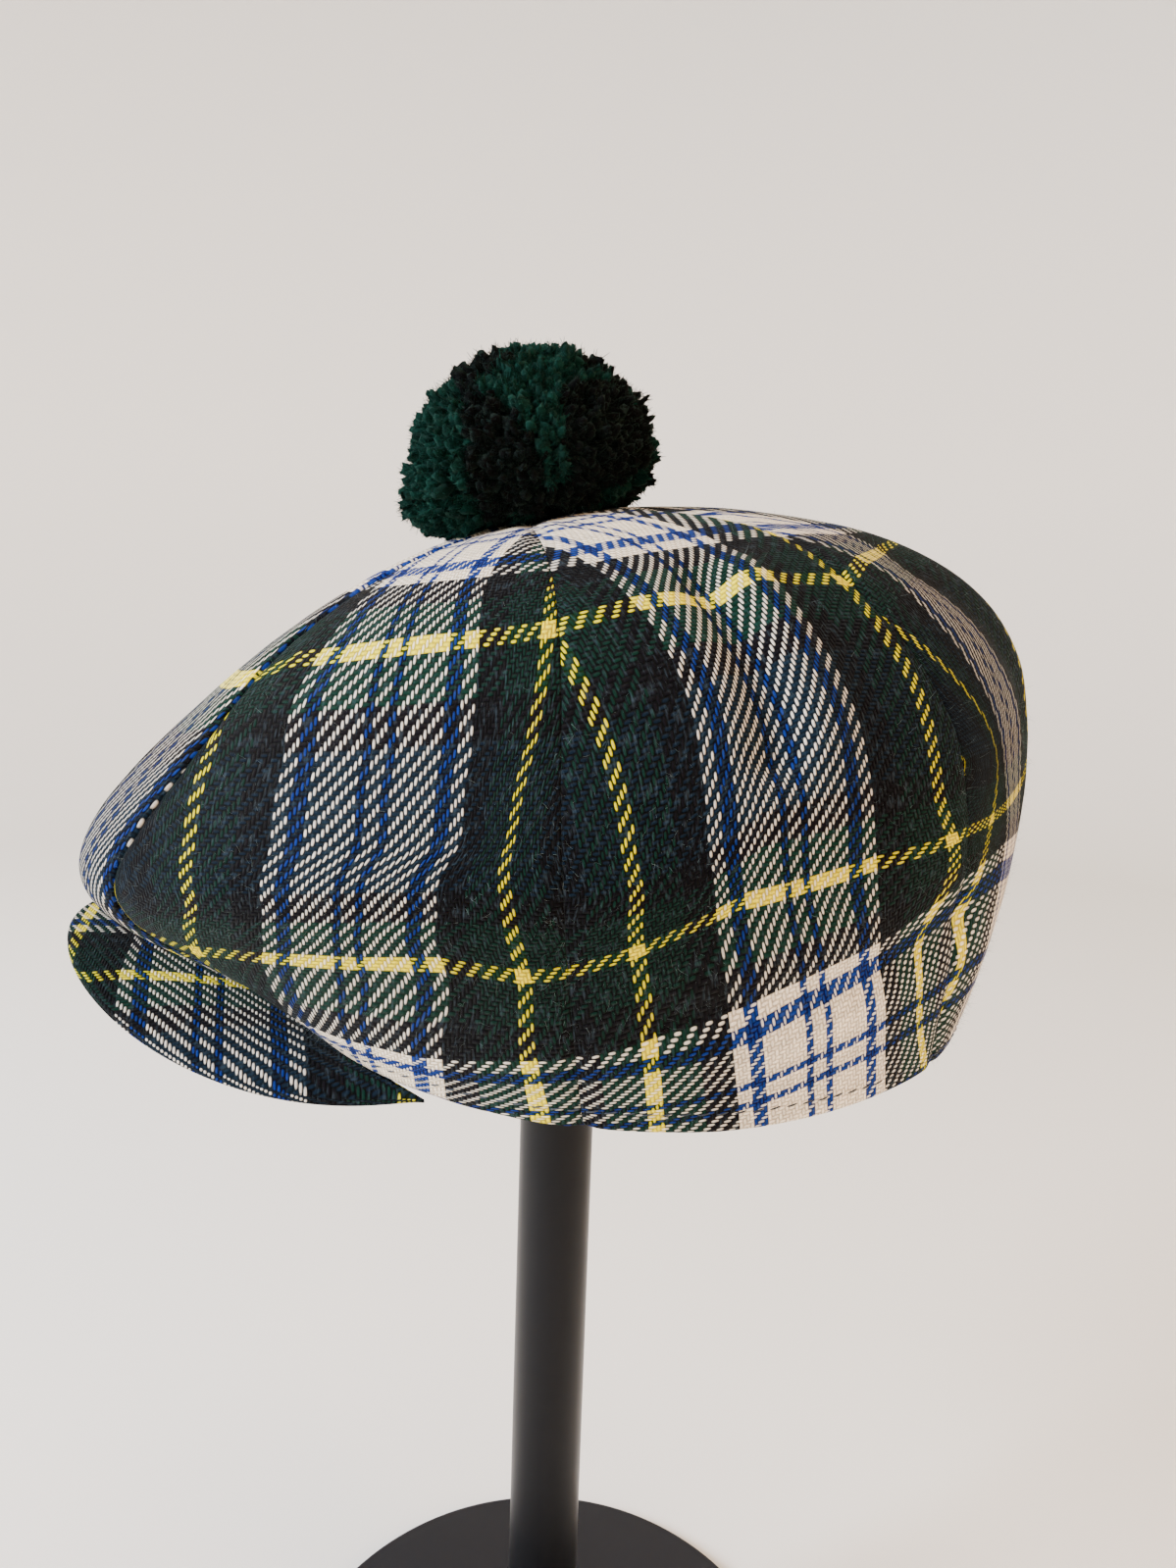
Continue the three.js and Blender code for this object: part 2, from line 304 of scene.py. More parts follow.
        # Short soft pale streaks along the warp: brushed-up fibre, and painted highlight on the
        # floats.
        combed = add_node(tree, "VectorMath", {0: counted.outputs[0], 1: (1.1, 0.30, 0.0)},
                          operation="MULTIPLY")
        fibre_and_highlight_field = add_node(tree, "TexNoise", {"Vector": combed.outputs[0], "Scale": 1.0,
                                                   "Detail": 3.0, "Roughness": 0.6})
        fibre_and_highlight_streak = add_node(tree, "MapRange", {0: fibre_and_highlight_field.outputs[0], 1: 0.52, 2: 0.80, 3: 0.0,
                                             4: 0.20})
        # Mixes in pale fibre and painted highlight, up to a fifth.
        coloured = add_node(tree, "Mix", {0: fibre_and_highlight_streak.outputs[0], 6: toned.outputs[0],
                                          7: srgb("5F7480")}, data_type="RGBA")
        fuzz = add_node(tree, "Math", {0: fibre.outputs[0], 1: 0.35, 2: float_height},
                        operation="MULTIPLY_ADD")
        bump = add_node(tree, "Bump", {"Height": fuzz.outputs[0], "Strength": 0.75,
                                       "Distance": self.relief * MM})
        close_material(tree, {
            "Base Color": coloured.outputs[2], "Normal": bump.outputs[0], "Roughness": 0.96,
            "Specular IOR Level": 0.06, "Sheen Weight": 0.03, "Sheen Roughness": 0.55,
            "Sheen Tint": srgb("C9D2CE")})
        return material

    def thread_colour(self, tree: bpy.types.NodeTree, warp_up: Any, weft: Any, warp: Any) -> Any:
        """Colour of one thread of the sett, each a little lighter or darker than the next.

        Args:
            tree: node tree of the cloth.
            warp_up: 1 where the warp lies on top.
            weft: thread number where the weft lies on top.
            warp: thread number where the warp lies on top.

        Returns:
            A colour socket.
        """
        half = sum(count for _, count in self.sett)
        number = add_node(tree, "Mix", {0: warp_up, 2: weft, 3: warp}).outputs[0]
        centre = add_node(tree, "Math", {0: number, 1: 0.5}, operation="ADD")
        folded = add_node(tree, "Math", {0: centre.outputs[0], 1: float(half)},
                          operation="PINGPONG")
        share = add_node(tree, "Math", {0: folded.outputs[0], 1: float(half)}, operation="DIVIDE")
        ramp = add_node(tree, "ValToRGB", {0: share.outputs[0]})
        ramp.color_ramp.interpolation = "CONSTANT"
        stops, dyes, start = ramp.color_ramp.elements, dict(self.dyes), 0
        stops.remove(stops[1])
        for k, (dye, count) in enumerate(self.sett):
            stop = stops[0] if k == 0 else stops.new(start / half)
            stop.position, stop.color = start / half, srgb(dyes[dye])
            start += count
        chance = add_node(tree, "TexWhiteNoise", {1: number}, noise_dimensions="1D")
        level = add_node(tree, "MapRange", {0: chance.outputs[0], 3: 0.84, 4: 1.12})
        return add_node(tree, "VectorMath", {0: ramp.outputs[0], "Scale": level.outputs[0]},
                        operation="SCALE").outputs[0]


@dataclass(frozen=True)
class PompomYarn:
    """Thick soft acrylic knitting yarn, cut: matt and fluffy at the ends, with painted shade that
    makes it nearly black deep down.
    """

    green: str = "072C24"
    black: str = "070507"
    twist: float = 0.9        # mm between the plies, drawn coarse enough to show

    def build(self) -> bpy.types.Material:
        """Makes the yarn.

        Returns:
            A material whose tone attribute picks green or black and whose depth attribute scales
            its brightness: painted shade deep in the pompom, and random tone.
        """
        material, tree = new_material("cut_acrylic_knitting_yarn")
        place = add_node(tree, "TexCoord").outputs["Object"]
        tone = add_node(tree, "Attribute", attribute_name="tone").outputs["Fac"]
        # depth carries painted shade, darker deep in the pompom, and random tone per yarn end.
        depth = add_node(tree, "Attribute", attribute_name="depth").outputs["Fac"]
        dyed = add_node(tree, "Mix", {0: tone, 6: srgb(self.green), 7: srgb(self.black)},
                        data_type="RGBA")
        fluff = add_node(tree, "TexNoise", {"Vector": place, "Scale": 1 / (self.twist * MM),
                                            "Detail": 4.0, "Roughness": 0.7})
        spread = add_node(tree, "MapRange", {0: fluff.outputs[0], 1: 0.3, 2: 0.7, 3: 0.55, 4: 1.45})
        shade = add_node(tree, "Math", {0: depth, 1: spread.outputs[0]}, operation="MULTIPLY")
        colour = add_node(tree, "VectorMath", {0: dyed.outputs[2], "Scale": shade.outputs[0]},
                          operation="SCALE")
        bump = add_node(tree, "Bump", {"Height": fluff.outputs[0], "Strength": 0.9,
                                       "Distance": 0.5 * MM})
        close_material(tree, {
            "Base Color": colour.outputs[0], "Normal": bump.outputs[0], "Roughness": 0.95,
            "Specular IOR Level": 0.06, "Sheen Weight": 0.12, "Sheen Roughness": 0.5,
            "Sheen Tint": srgb("6FA08C")})
        return material


@dataclass(frozen=True)
class LooseFibre:
    """Single wool fibres that stand off the cloth: fine, and paler than the dark threads."""

    colour: str = "5E6B68"

    def build(self) -> bpy.types.Material:
        """Makes the fibre.

        Returns:
            A material a little lighter in some places than others.
        """
        material, tree = new_material("loose_wool_fibre")
        place = add_node(tree, "TexCoord").outputs["Object"]
        patch = add_node(tree, "TexNoise", {"Vector": place, "Scale": 160.0})
        level = add_node(tree, "MapRange", {0: patch.outputs[0], 1: 0.3, 2: 0.7, 3: 0.5, 4: 1.5})
        tone = add_node(tree, "VectorMath", {0: srgb(self.colour)[:3], "Scale": level.outputs[0]},
                        operation="SCALE")
        close_material(tree, {"Base Color": tone.outputs[0], "Roughness": 0.8,
                              "Specular IOR Level": 0.3})
        return material


@dataclass(frozen=True)
class SewingThread:
    """Spun polyester sewing thread: fine, dark, with a slight gloss on its twist."""

    colour: str = "16202B"
    twist: float = 0.35       # mm from one turn of the plies to the next

    def build(self) -> bpy.types.Material:
        """Makes the thread.

        Returns:
            A material banded by its plies.
        """
        material, tree = new_material("spun_polyester_thread")
        place = add_node(tree, "TexCoord").outputs["Object"]
        plies = add_node(tree, "TexWave", {"Vector": place, "Scale": 1 / (self.twist * MM) / 6,
                                           "Distortion": 1.0}, bands_direction="DIAGONAL")
        level = add_node(tree, "MapRange", {0: plies.outputs["Fac"], 3: 0.6, 4: 1.3})
        tone = add_node(tree, "VectorMath", {0: srgb(self.colour)[:3], "Scale": level.outputs[0]},
                        operation="SCALE")
        close_material(tree, {"Base Color": tone.outputs[0], "Roughness": 0.6})
        return material


@dataclass(frozen=True)
class PowderCoat:
    """Black polyester powder coat baked on steel: satin, with a faint orange peel."""

    name: str
    colour: str
    roughness: float
    peel: float = 0.8         # mm across one ripple of the coat

    def build(self) -> bpy.types.Material:
        """Makes the coat.

        Returns:
            A material whose roughness drifts where hands have rubbed it.
        """
        material, tree = new_material(self.name)
        place = add_node(tree, "TexCoord").outputs["Object"]
        ripple = add_node(tree, "TexNoise", {"Vector": place, "Scale": 1 / (self.peel * MM)})
        rubbed = add_node(tree, "TexNoise", {"Vector": place, "Scale": 14.0, "Detail": 4.0})
        rough = add_node(tree, "MapRange", {0: rubbed.outputs[0], 3: self.roughness - 0.06,
                                            4: self.roughness + 0.08})
        level = add_node(tree, "MapRange", {0: rubbed.outputs[0], 3: 0.85, 4: 1.2})
        tone = add_node(tree, "VectorMath", {0: srgb(self.colour)[:3], "Scale": level.outputs[0]},
                        operation="SCALE")
        bump = add_node(tree, "Bump", {"Height": ripple.outputs[0], "Strength": 0.12,
                                       "Distance": 0.05 * MM})
        close_material(tree, {"Base Color": tone.outputs[0], "Roughness": rough.outputs[0],
                              "Normal": bump.outputs[0], "Specular IOR Level": 0.16})
        return material


@dataclass(frozen=True)
class StudioPaper:
    """Matt paper of the studio floor and its curved wall."""

    colour: str = "FBF7EE"

    def build(self) -> bpy.types.Material:
        """Makes the paper.

        Returns:
            A material with a trace of tooth.
        """
        material, tree = new_material("studio_paper")
        place = add_node(tree, "TexCoord").outputs["Object"]
        tooth = add_node(tree, "TexNoise", {"Vector": place, "Scale": 500.0})
        bump = add_node(tree, "Bump", {"Height": tooth.outputs[0], "Strength": 0.05,
                                       "Distance": 0.1 * MM})
        close_material(tree, {"Base Color": srgb(self.colour), "Roughness": 0.95,
                              "Normal": bump.outputs[0], "Specular IOR Level": 0.1})
        return material


# ---------------------------------------------------------------- pieces

def finish_piece(name: str, mesh: bpy.types.Mesh, material: bpy.types.Material,
                 replaced: Sequence[str] = ()) -> bpy.types.Object:
    """Puts a finished mesh on the object.

    Args:
        name: name of the piece.
        mesh: its mesh, in place.
        material: its finish.
        replaced: CAD nodes that it stands for.

    Returns:
        The piece.
    """
    mesh.materials.append(material)
    mesh.shade_smooth()
    piece = bpy.data.objects.new(name, mesh)
    bpy.context.scene.collection.objects.link(piece)
    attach(piece, BODY)
    if replaced:
        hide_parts(*replaced)
    LOG.info("%s: %d faces", name, len(mesh.polygons))
    return piece


def to_mesh(name: str, bm: bmesh.types.BMesh) -> bpy.types.Mesh:
    """Turns a bmesh into a mesh and frees it.

    Args:
        name: name of the mesh.
        bm: the bmesh.

    Returns:
        The mesh.
    """
    mesh = bpy.data.meshes.new(name)
    bm.to_mesh(mesh)
    bm.free()
    return mesh


def six_sided_rod(radius: float) -> bmesh.types.BMesh:
    """A closed rod a unit long about its middle, cut in five along its length.

    Args:
        radius: as a share of its length.

    Returns:
        The bmesh.
    """
    bm = bmesh.new()
    bmesh.ops.create_cone(bm, cap_ends=True, segments=6, radius1=radius, radius2=radius, depth=1.0)
    uprights = [edge for edge in bm.edges if abs(edge.verts[0].co.z - edge.verts[1].co.z) > 0.5]
    bmesh.ops.subdivide_edges(bm, edges=uprights, cuts=4)
    return bm


def quarter_turn(steps: int) -> list[float]:
    """Angles from 0 to a right angle, in radians."""
    return [math.pi / 2 * i / steps for i in range(steps + 1)]


def shaped_grid(name: str, across: int, along: int,
                shape: Callable[[Array, Array], tuple[Array, Array]],
                weld: bool = False) -> bpy.types.Mesh:
    """A grid moved onto a form, with its thread counts as a UV map.

    Args:
        name: name of the mesh.
        across: number of columns.
        along: number of rows.
        shape: gives points in mm and thread counts from column and row numbers.
        weld: joins the first row to the last and fills the open ends.

    Returns:
        The mesh, in metres.
    """
    bm = bmesh.new()
    bmesh.ops.create_grid(bm, x_segments=across, y_segments=along, size=0.5)
    flat = np.array([vert.co[:2] for vert in bm.verts])
    column = np.rint((flat[:, 0] + 0.5) * across).astype(int)
    row = np.rint((0.5 - flat[:, 1]) * along).astype(int)
    points, threads = shape(column, row)
    for vert, point in zip(bm.verts, points * MM):
        vert.co = point
    layer = bm.loops.layers.uv.new(CLOTH_UV)
    bm.verts.index_update()
    for face in bm.faces:
        for loop in face.loops:
            loop[layer].uv = threads[loop.vert.index]
    if weld:
        bmesh.ops.remove_doubles(bm, verts=bm.verts, dist=SAME_POINT)
        bmesh.ops.holes_fill(bm, edges=[edge for edge in bm.edges if edge.is_boundary], sides=0)
        bmesh.ops.recalc_face_normals(bm, faces=bm.faces)
    return to_mesh(name, bm)


def turned_mesh(name: str, outline: Sequence[tuple[float, float]], steps: int) -> bpy.types.Mesh:
    """A body turned about Z.

    Args:
        name: name of the mesh.
        outline: radius and height in mm, from the axis round to the axis.
        steps: faces round the turn.

    Returns:
        The closed mesh.
    """
    bm = bmesh.new()
    ring = [bm.verts.new((radius * MM, 0, z * MM)) for radius, z in outline]
    edges = [bm.edges.new(pair) for pair in zip(ring, ring[1:])]
    bmesh.ops.spin(bm, geom=ring + edges, cent=(0, 0, 0), axis=(0, 0, 1), angle=2 * math.pi,
                   steps=steps, use_merge=True)
    bmesh.ops.remove_doubles(bm, verts=bm.verts, dist=SAME_POINT)
    bmesh.ops.recalc_face_normals(bm, faces=bm.faces)
    return to_mesh(name, bm)


def rounded(corners: Sequence[tuple[float, float, float]],
            steps: int = 6) -> list[tuple[float, float]]:
    """An outline whose corners are rounded.

    Args:
        corners: radius, height and fillet of each corner in mm.
        steps: points on each fillet.

    Returns:
        Radius and height of each point.
    """
    outline: list[tuple[float, float]] = []
    for k, (radius, z, fillet) in enumerate(corners):
        here = Vector((radius, z))
        if fillet == 0:
            outline.append((radius, z))
            continue
        before, after = Vector(corners[k - 1][:2]), Vector(corners[k + 1][:2])
        start = here + (before - here).normalized() * fillet
        end = here + (after - here).normalized() * fillet
        for i in range(steps + 1):
            u = i / steps
            point = start * (1 - u) ** 2 + here * 2 * u * (1 - u) + end * u * u
            outline.append((point.x, point.y))
    return outline


def copied_mesh(name: str, pattern: bpy.types.Mesh, frames: Array,
                values: Optional[dict[str, Array]] = None) -> bpy.types.Mesh:
    """Many copies of one small mesh, joined.

    Args:
        name: name of the joined mesh.
        pattern: the mesh that repeats.
        frames: copies by 3 by 4, each a turn and scale, then a place in metres.
        values: attributes, one number for each copy or for each vertex of each copy.

    Returns:
        The joined mesh.
    """
    corner = np.array([vert.co for vert in pattern.vertices])
    faces = [tuple(face.vertices) for face in pattern.polygons]
    count, size = len(frames), len(corner)
    points = np.einsum("nij,vj->nvi", frames[:, :, :3], corner) + frames[:, None, :, 3]
    mesh = bpy.data.meshes.new(name)
    mesh.from_pydata(points.reshape(-1, 3), [], [
        [index + size * k for index in face] for k in range(count) for face in faces])
    for key, value in (values or {}).items():
        filled = np.broadcast_to(value if value.ndim == 2 else value[:, None], (count, size))
        mesh.attributes.new(key, "FLOAT", "POINT").data.foreach_set(
            "value", np.ascontiguousarray(filled, np.float32).ravel())
    return mesh


def hair_frames(rng: np.random.Generator, roots: Array, aims: Array, lengths: Array,
                width: float) -> Array:
    """Frames that stand a hair on each root.

    Args:
        rng: seeded random numbers.
        roots: places in mm.
        aims: directions to grow in.
        lengths: mm.
        width: mm.

    Returns:
        Frames for copied_mesh.
    """
    aims = unit(aims)
    side = unit(np.cross(aims, rng.normal(size=aims.shape)))
    third = np.cross(aims, side)
    tall = lengths[:, None]
    return np.stack([side * width, third * tall, aims * tall, roots], axis=2) * MM


def hair_pattern(bend: float, parts: int = 2) -> bpy.types.Mesh:
    """One curved ribbon, a unit long, that narrows to its tip.

    Args:
        bend: how far its tip leans, as a share of its length.
        parts: faces along it.

    Returns:
        The pattern mesh.
    """
    bm = bmesh.new()
    bmesh.ops.create_grid(bm, x_segments=1, y_segments=parts, size=0.5)
    for vert in bm.verts:
        up = vert.co.y + 0.5
        vert.co = (vert.co.x * (1 - 0.8 * up), bend * up * up, up)
    return to_mesh("hair_pattern", bm)


# ---------------------------------------------------------------- crown

@dataclass(frozen=True)
class Ring:
    """An oval ring of the crown: its reach and height at the front, side and back."""

    t: float
    front: float
    back: float
    half: float
    front_z: float
    side_z: float
    back_z: float


@dataclass(frozen=True)
class Fold:
    """A fold or dent from one place on the crown to another; a negative depth stands proud."""

    start: tuple[float, float]
    end: tuple[float, float]
    width: float
    depth: float


@dataclass(frozen=True)
class CrownForm:
    """The puffed form that all the panels lie on."""

    rings: tuple[Ring, ...] = (
        Ring(0.00, -10, -10, 0, 389, 389, 389), Ring(0.10, -32, 12, 21, 384, 388, 394),
        Ring(0.24, -72, 71, 57, 361, 376, 391), Ring(0.42, -108, 117, 89, 331, 340, 365),
        Ring(0.62, -134, 124, 107, 294, 312, 321), Ring(0.82, -108, 118, 96, 272, 286, 280),
        Ring(1.00, -78, 113, 80, 260, 251, 258))
    folds: tuple[Fold, ...] = (
        Fold((113.5, 0.29), (115.5, 0.47), 5.5, 4.2),      # left pucker, hollow
        Fold((119.5, 0.29), (121.0, 0.47), 6.5, -2.6),     # left pucker, ridge
        Fold((104.0, 0.86), (146.0, 0.73), 7.0, 2.0),      # left tuck above the rim
        Fold((158.0, 0.32), (166.0, 0.50), 12.0, 3.0),     # slump at the back
        Fold((-118.0, 0.30), (-113.0, 0.46), 6.0, 2.4),    # right pucker
        Fold((-100.0, 0.88), (-142.0, 0.76), 7.0, 1.8))    # right tuck above the rim
    wrinkle: float = 0.7       # mm, long soft unevenness
    ripple: float = 0.22       # mm, short unevenness

    def columns(self) -> dict[str, Spline]:
        """Joins the rings.

        Returns:
            A spline down the crown for each named size of a ring.
        """
        ts = [ring.t for ring in self.rings]
        names = ("front", "back", "half", "front_z", "side_z", "back_z")
        return {name: Spline(ts, [getattr(ring, name) for ring in self.rings]) for name in names}

    def point(self, phi: Array, t: Array) -> Array:
        """Points of the smooth crown.

        Args:
            phi: degrees from the front.
            t: how far down, from 0 at the button to 1 at the rim.

        Returns:
            Points in mm.
        """
        at = {name: column(t) for name, column in self.columns().items()}
        turn = np.radians(phi)
        ends, tilt = at["front_z"] + at["back_z"], at["front_z"] - at["back_z"]
        z = ((ends + 2 * at["side_z"]) / 4 + tilt / 2 * np.cos(turn)
             + (ends - 2 * at["side_z"]) / 4 * np.cos(2 * turn))
        y = (at["front"] + at["back"]) / 2 - (at["back"] - at["front"]) / 2 * np.cos(turn)
        return np.stack([at["half"] * np.sin(turn), y, z], axis=-1)

    def one_degree(self, phi: Array, t: Array) -> Array:
        """The way in mm from half a degree short of phi to half a degree past it."""
        return self.point(phi + 0.5, t) - self.point(phi - 0.5, t)

    def directions(self, phi: Array, t: Array) -> tuple[Array, Array]:
        """Directions of the smooth crown.

        Args:
            phi: degrees from the front.
            t: how far down.

        Returns:
            Outward and downward directions, of length one.
        """
        step = 0.004
        around = self.one_degree(phi, t)
        down = self.point(phi, np.minimum(1, t + step)) - self.point(phi, t - step)
        return unit(np.cross(down, around)), unit(down)

    def sink(self, points: Array) -> Array:
        """How far the folds and wrinkles take the cloth in.

        Args:
            points: points of the smooth crown in mm.

        Returns:
            Mm inward at each point.
        """
        total = (self.wrinkle * soft_noise(points, 38, 3.1)
                 + self.ripple * soft_noise(points, 13, 8.4))
        for fold in self.folds:
            share = np.linspace(0, 1, 25)[:, None]
            route = (1 - share) * np.array(fold.start) + share * np.array(fold.end)
            path = self.point(route[:, 0], route[:, 1])
            near = np.min(np.linalg.norm(points[:, None] - path, axis=2), axis=1)
            total += fold.depth * np.exp(-(near / fold.width) ** 2)
        return total


class Seam(Enum):
    """The six seams of the crown."""

    LEFT_FRONT = "left_front"
    LEFT_SIDE = "left_side"
    LEFT_BACK = "left_back"
    RIGHT_BACK = "right_back"
    RIGHT_SIDE = "right_side"
    RIGHT_FRONT = "right_front"


@dataclass(frozen=True)
class Seams:
    """Where each seam runs, in degrees from the front, from the button to the rim."""

    ts: tuple[float, ...] = (0.00, 0.10, 0.24, 0.42, 0.62, 0.82, 1.00)
    left_front: tuple[float, ...] = (33.0, 33.0, 32.0, 38.5, 43.5, 35.0, 32.0)
    left_side: tuple[float, ...] = (92.0, 92.0, 91.5, 92.5, 98.0, 94.5, 89.0)
    left_back: tuple[float, ...] = (149.0, 149.0, 137.5, 137.0, 144.0, 147.0, 150.5)
    right_side: tuple[float, ...] = (92.0, 92.0, 92.0, 93.0, 95.0, 93.0, 90.0)
    right_back: tuple[float, ...] = (147.0, 146.0, 144.0, 143.0, 145.0, 148.0, 150.0)

    def angle(self, seam: Seam, t: Array) -> Array:
        """Where a seam runs.

        Args:
            seam: the seam.
            t: how far down.

        Returns:
            Degrees from the front, rising towards the wearer's left and round to the right.
        """
        if seam is Seam.RIGHT_FRONT:
            return 360 - Spline(self.ts, self.left_front)(t)
        value = Spline(self.ts, getattr(self, seam.value))(t)
        return 360 - value if seam in (Seam.RIGHT_BACK, Seam.RIGHT_SIDE) else value


@dataclass(frozen=True)
class WarpLine:
    """Where four warp lines of the tartan cross one ring, in mm round from a panel's middle."""

    t: float
    yellow_in: float
    block_in: float
    block_out: float
    yellow_out: float


@dataclass(frozen=True)
class Cut:
    """How one panel was cut from the cloth: its middle line and the run of the warp lines on it."""

    middle: float
    lines: tuple[WarpLine, ...]
    mirrored: bool = False

    def threads(self, t: Array, s: Array) -> Array:
        """Counts the warp.

        Args:
            t: how far down.
            s: mm round from the middle line.

        Returns:
            Warp thread numbers.
        """
        ts = [line.t for line in self.lines]
        names = ("yellow_in", "block_in", "block_out", "yellow_out")
        reach = np.maximum(t, ts[0])
        full = (len(t), len(ts))
        knots = np.stack([
            rising_curve(np.broadcast_to(np.array(ts), full),
                         np.broadcast_to([getattr(line, name) for line in self.lines], full), reach)
            for name in names], axis=1)
        counts = np.broadcast_to(np.array(WARP_COUNTS), knots.shape)
        if self.mirrored:
            return -rising_curve(knots, counts, -s)
        return rising_curve(knots, counts, s)


FRONT_QUARTER = (
    WarpLine(0.10, -40, -19, 17, 34), WarpLine(0.24, -48, -21, 19, 36),
    WarpLine(0.34, -53, -22, 27, 42), WarpLine(0.45, -37, -9, 38, 50),
    WarpLine(0.56, -18, 6, 49, 60), WarpLine(0.64, -12, 9, 49, 63),
    WarpLine(0.71, -21, 3, 44, 60), WarpLine(0.785, -36, -11, 37, 53),
    WarpLine(0.84, -47, -21, 29, 46), WarpLine(0.88, -53, -28, 22, 41),
    WarpLine(1.00, -68, -42, 6, 30))
BACK_QUARTER = (
    WarpLine(0.10, -52, -29, 3, 21), WarpLine(0.24, -50, -28, 3, 20),
    WarpLine(0.34, -48, -27, 5, 22), WarpLine(0.45, -44, -26, 10, 28),
    WarpLine(0.56, -38, -22, 16, 35), WarpLine(0.65, -34, -18, 20, 45),
    WarpLine(0.72, -34, -17, 22, 38), WarpLine(0.80, -34, -16, 24, 36),
    WarpLine(1.00, -34, -15, 26, 42))
BACK_MIDDLE = (
    WarpLine(0.10, -76, -55, -19, 0), WarpLine(0.30, -69, -47, -30, -4),
    WarpLine(0.38, -67, -55, -36, -8), WarpLine(0.45, -64, -57, -40, -12),
    WarpLine(0.55, -58, -54, -40, -12), WarpLine(0.65, -60, -46, -30, -6),
    WarpLine(0.72, -61, -42, -22, 0), WarpLine(0.80, -54, -36, -14, 4),
    WarpLine(1.00, -52, -34, -8, 10))
# The blue stripe at the edge of the pale block lies along the left front seam.
FRONT_MIDDLE = tuple(
    WarpLine(t, 0.62 * seam - 32, 0.82 * seam - 24, seam + 5, seam + 23)
    for t, seam in ((0.10, 12), (0.24, 33), (0.42, 62), (0.62, 84), (0.82, 60), (1.00, 46)))


@dataclass(frozen=True)
class WeftLines:
    """How far down the crown the weft lines of the tartan run, at angles from the front."""

    # Angle and how far down each line lies there; the rim gives the weft thread number instead.
    pale_edge: tuple[tuple[float, float], ...] = (
        (44, 0.212), (80, 0.240), (96, 0.247), (116, 0.247), (138, 0.250), (149, 0.260))
    upper_yellow: tuple[tuple[float, float], ...] = (
        (32, 0.345), (44, 0.312), (58, 0.310), (90, 0.310), (102, 0.300), (121, 0.300),
        (135, 0.315), (143, 0.297), (160, 0.280))
    # In degrees past the front seam, because this one runs along that seam at first.
    lower_yellow: tuple[tuple[float, float], ...] = (
        (0, 0.60), (2.5, 0.74), (10, 0.77), (30, 0.76), (46, 0.755), (54, 0.775), (59, 0.77),
        (65, 0.73), (72, 0.66), (85, 0.63), (105, 0.61), (120, 0.575))
    lower_pale_edge: tuple[tuple[float, float], ...] = (
        (45, 0.94), (70, 0.93), (93, 0.90), (106, 0.865), (114, 0.83), (125, 0.77), (132, 0.735),
        (138, 0.70), (148, 0.66), (155, 0.645))
    rim: tuple[tuple[float, float], ...] = ((70, 156), (90, 163), (122, 173), (150, 178))
    # Weft thread numbers at the button and at the four lines above.
    counts: tuple[int, ...] = (-38, 24, 44, 116, 136)
    seams: Seams = Seams()

    def threads(self, phi: Array, t: Array) -> Array:
        """Counts the weft, with the right side of the cap cut as the left.

        Args:
            phi: degrees from the front.
            t: how far down.

        Returns:
            Weft thread numbers.
        """
        side = np.abs((phi + 180) % 360 - 180)
        read = [np.interp(side, *zip(*line)) for line in (
            self.pale_edge, self.upper_yellow, self.lower_pale_edge, self.rim)]
        past_seam = side - self.seams.angle(Seam.LEFT_FRONT, t)
        yellow = np.interp(past_seam, *zip(*self.lower_yellow))
        zero, one = np.zeros_like(side), np.ones_like(side)
        knots = np.stack([zero, read[0], read[1], yellow, read[2], one], axis=1)
        counts = np.stack([*(zero + count for count in self.counts), read[3]], axis=1)
        return rising_curve(knots, counts, t)


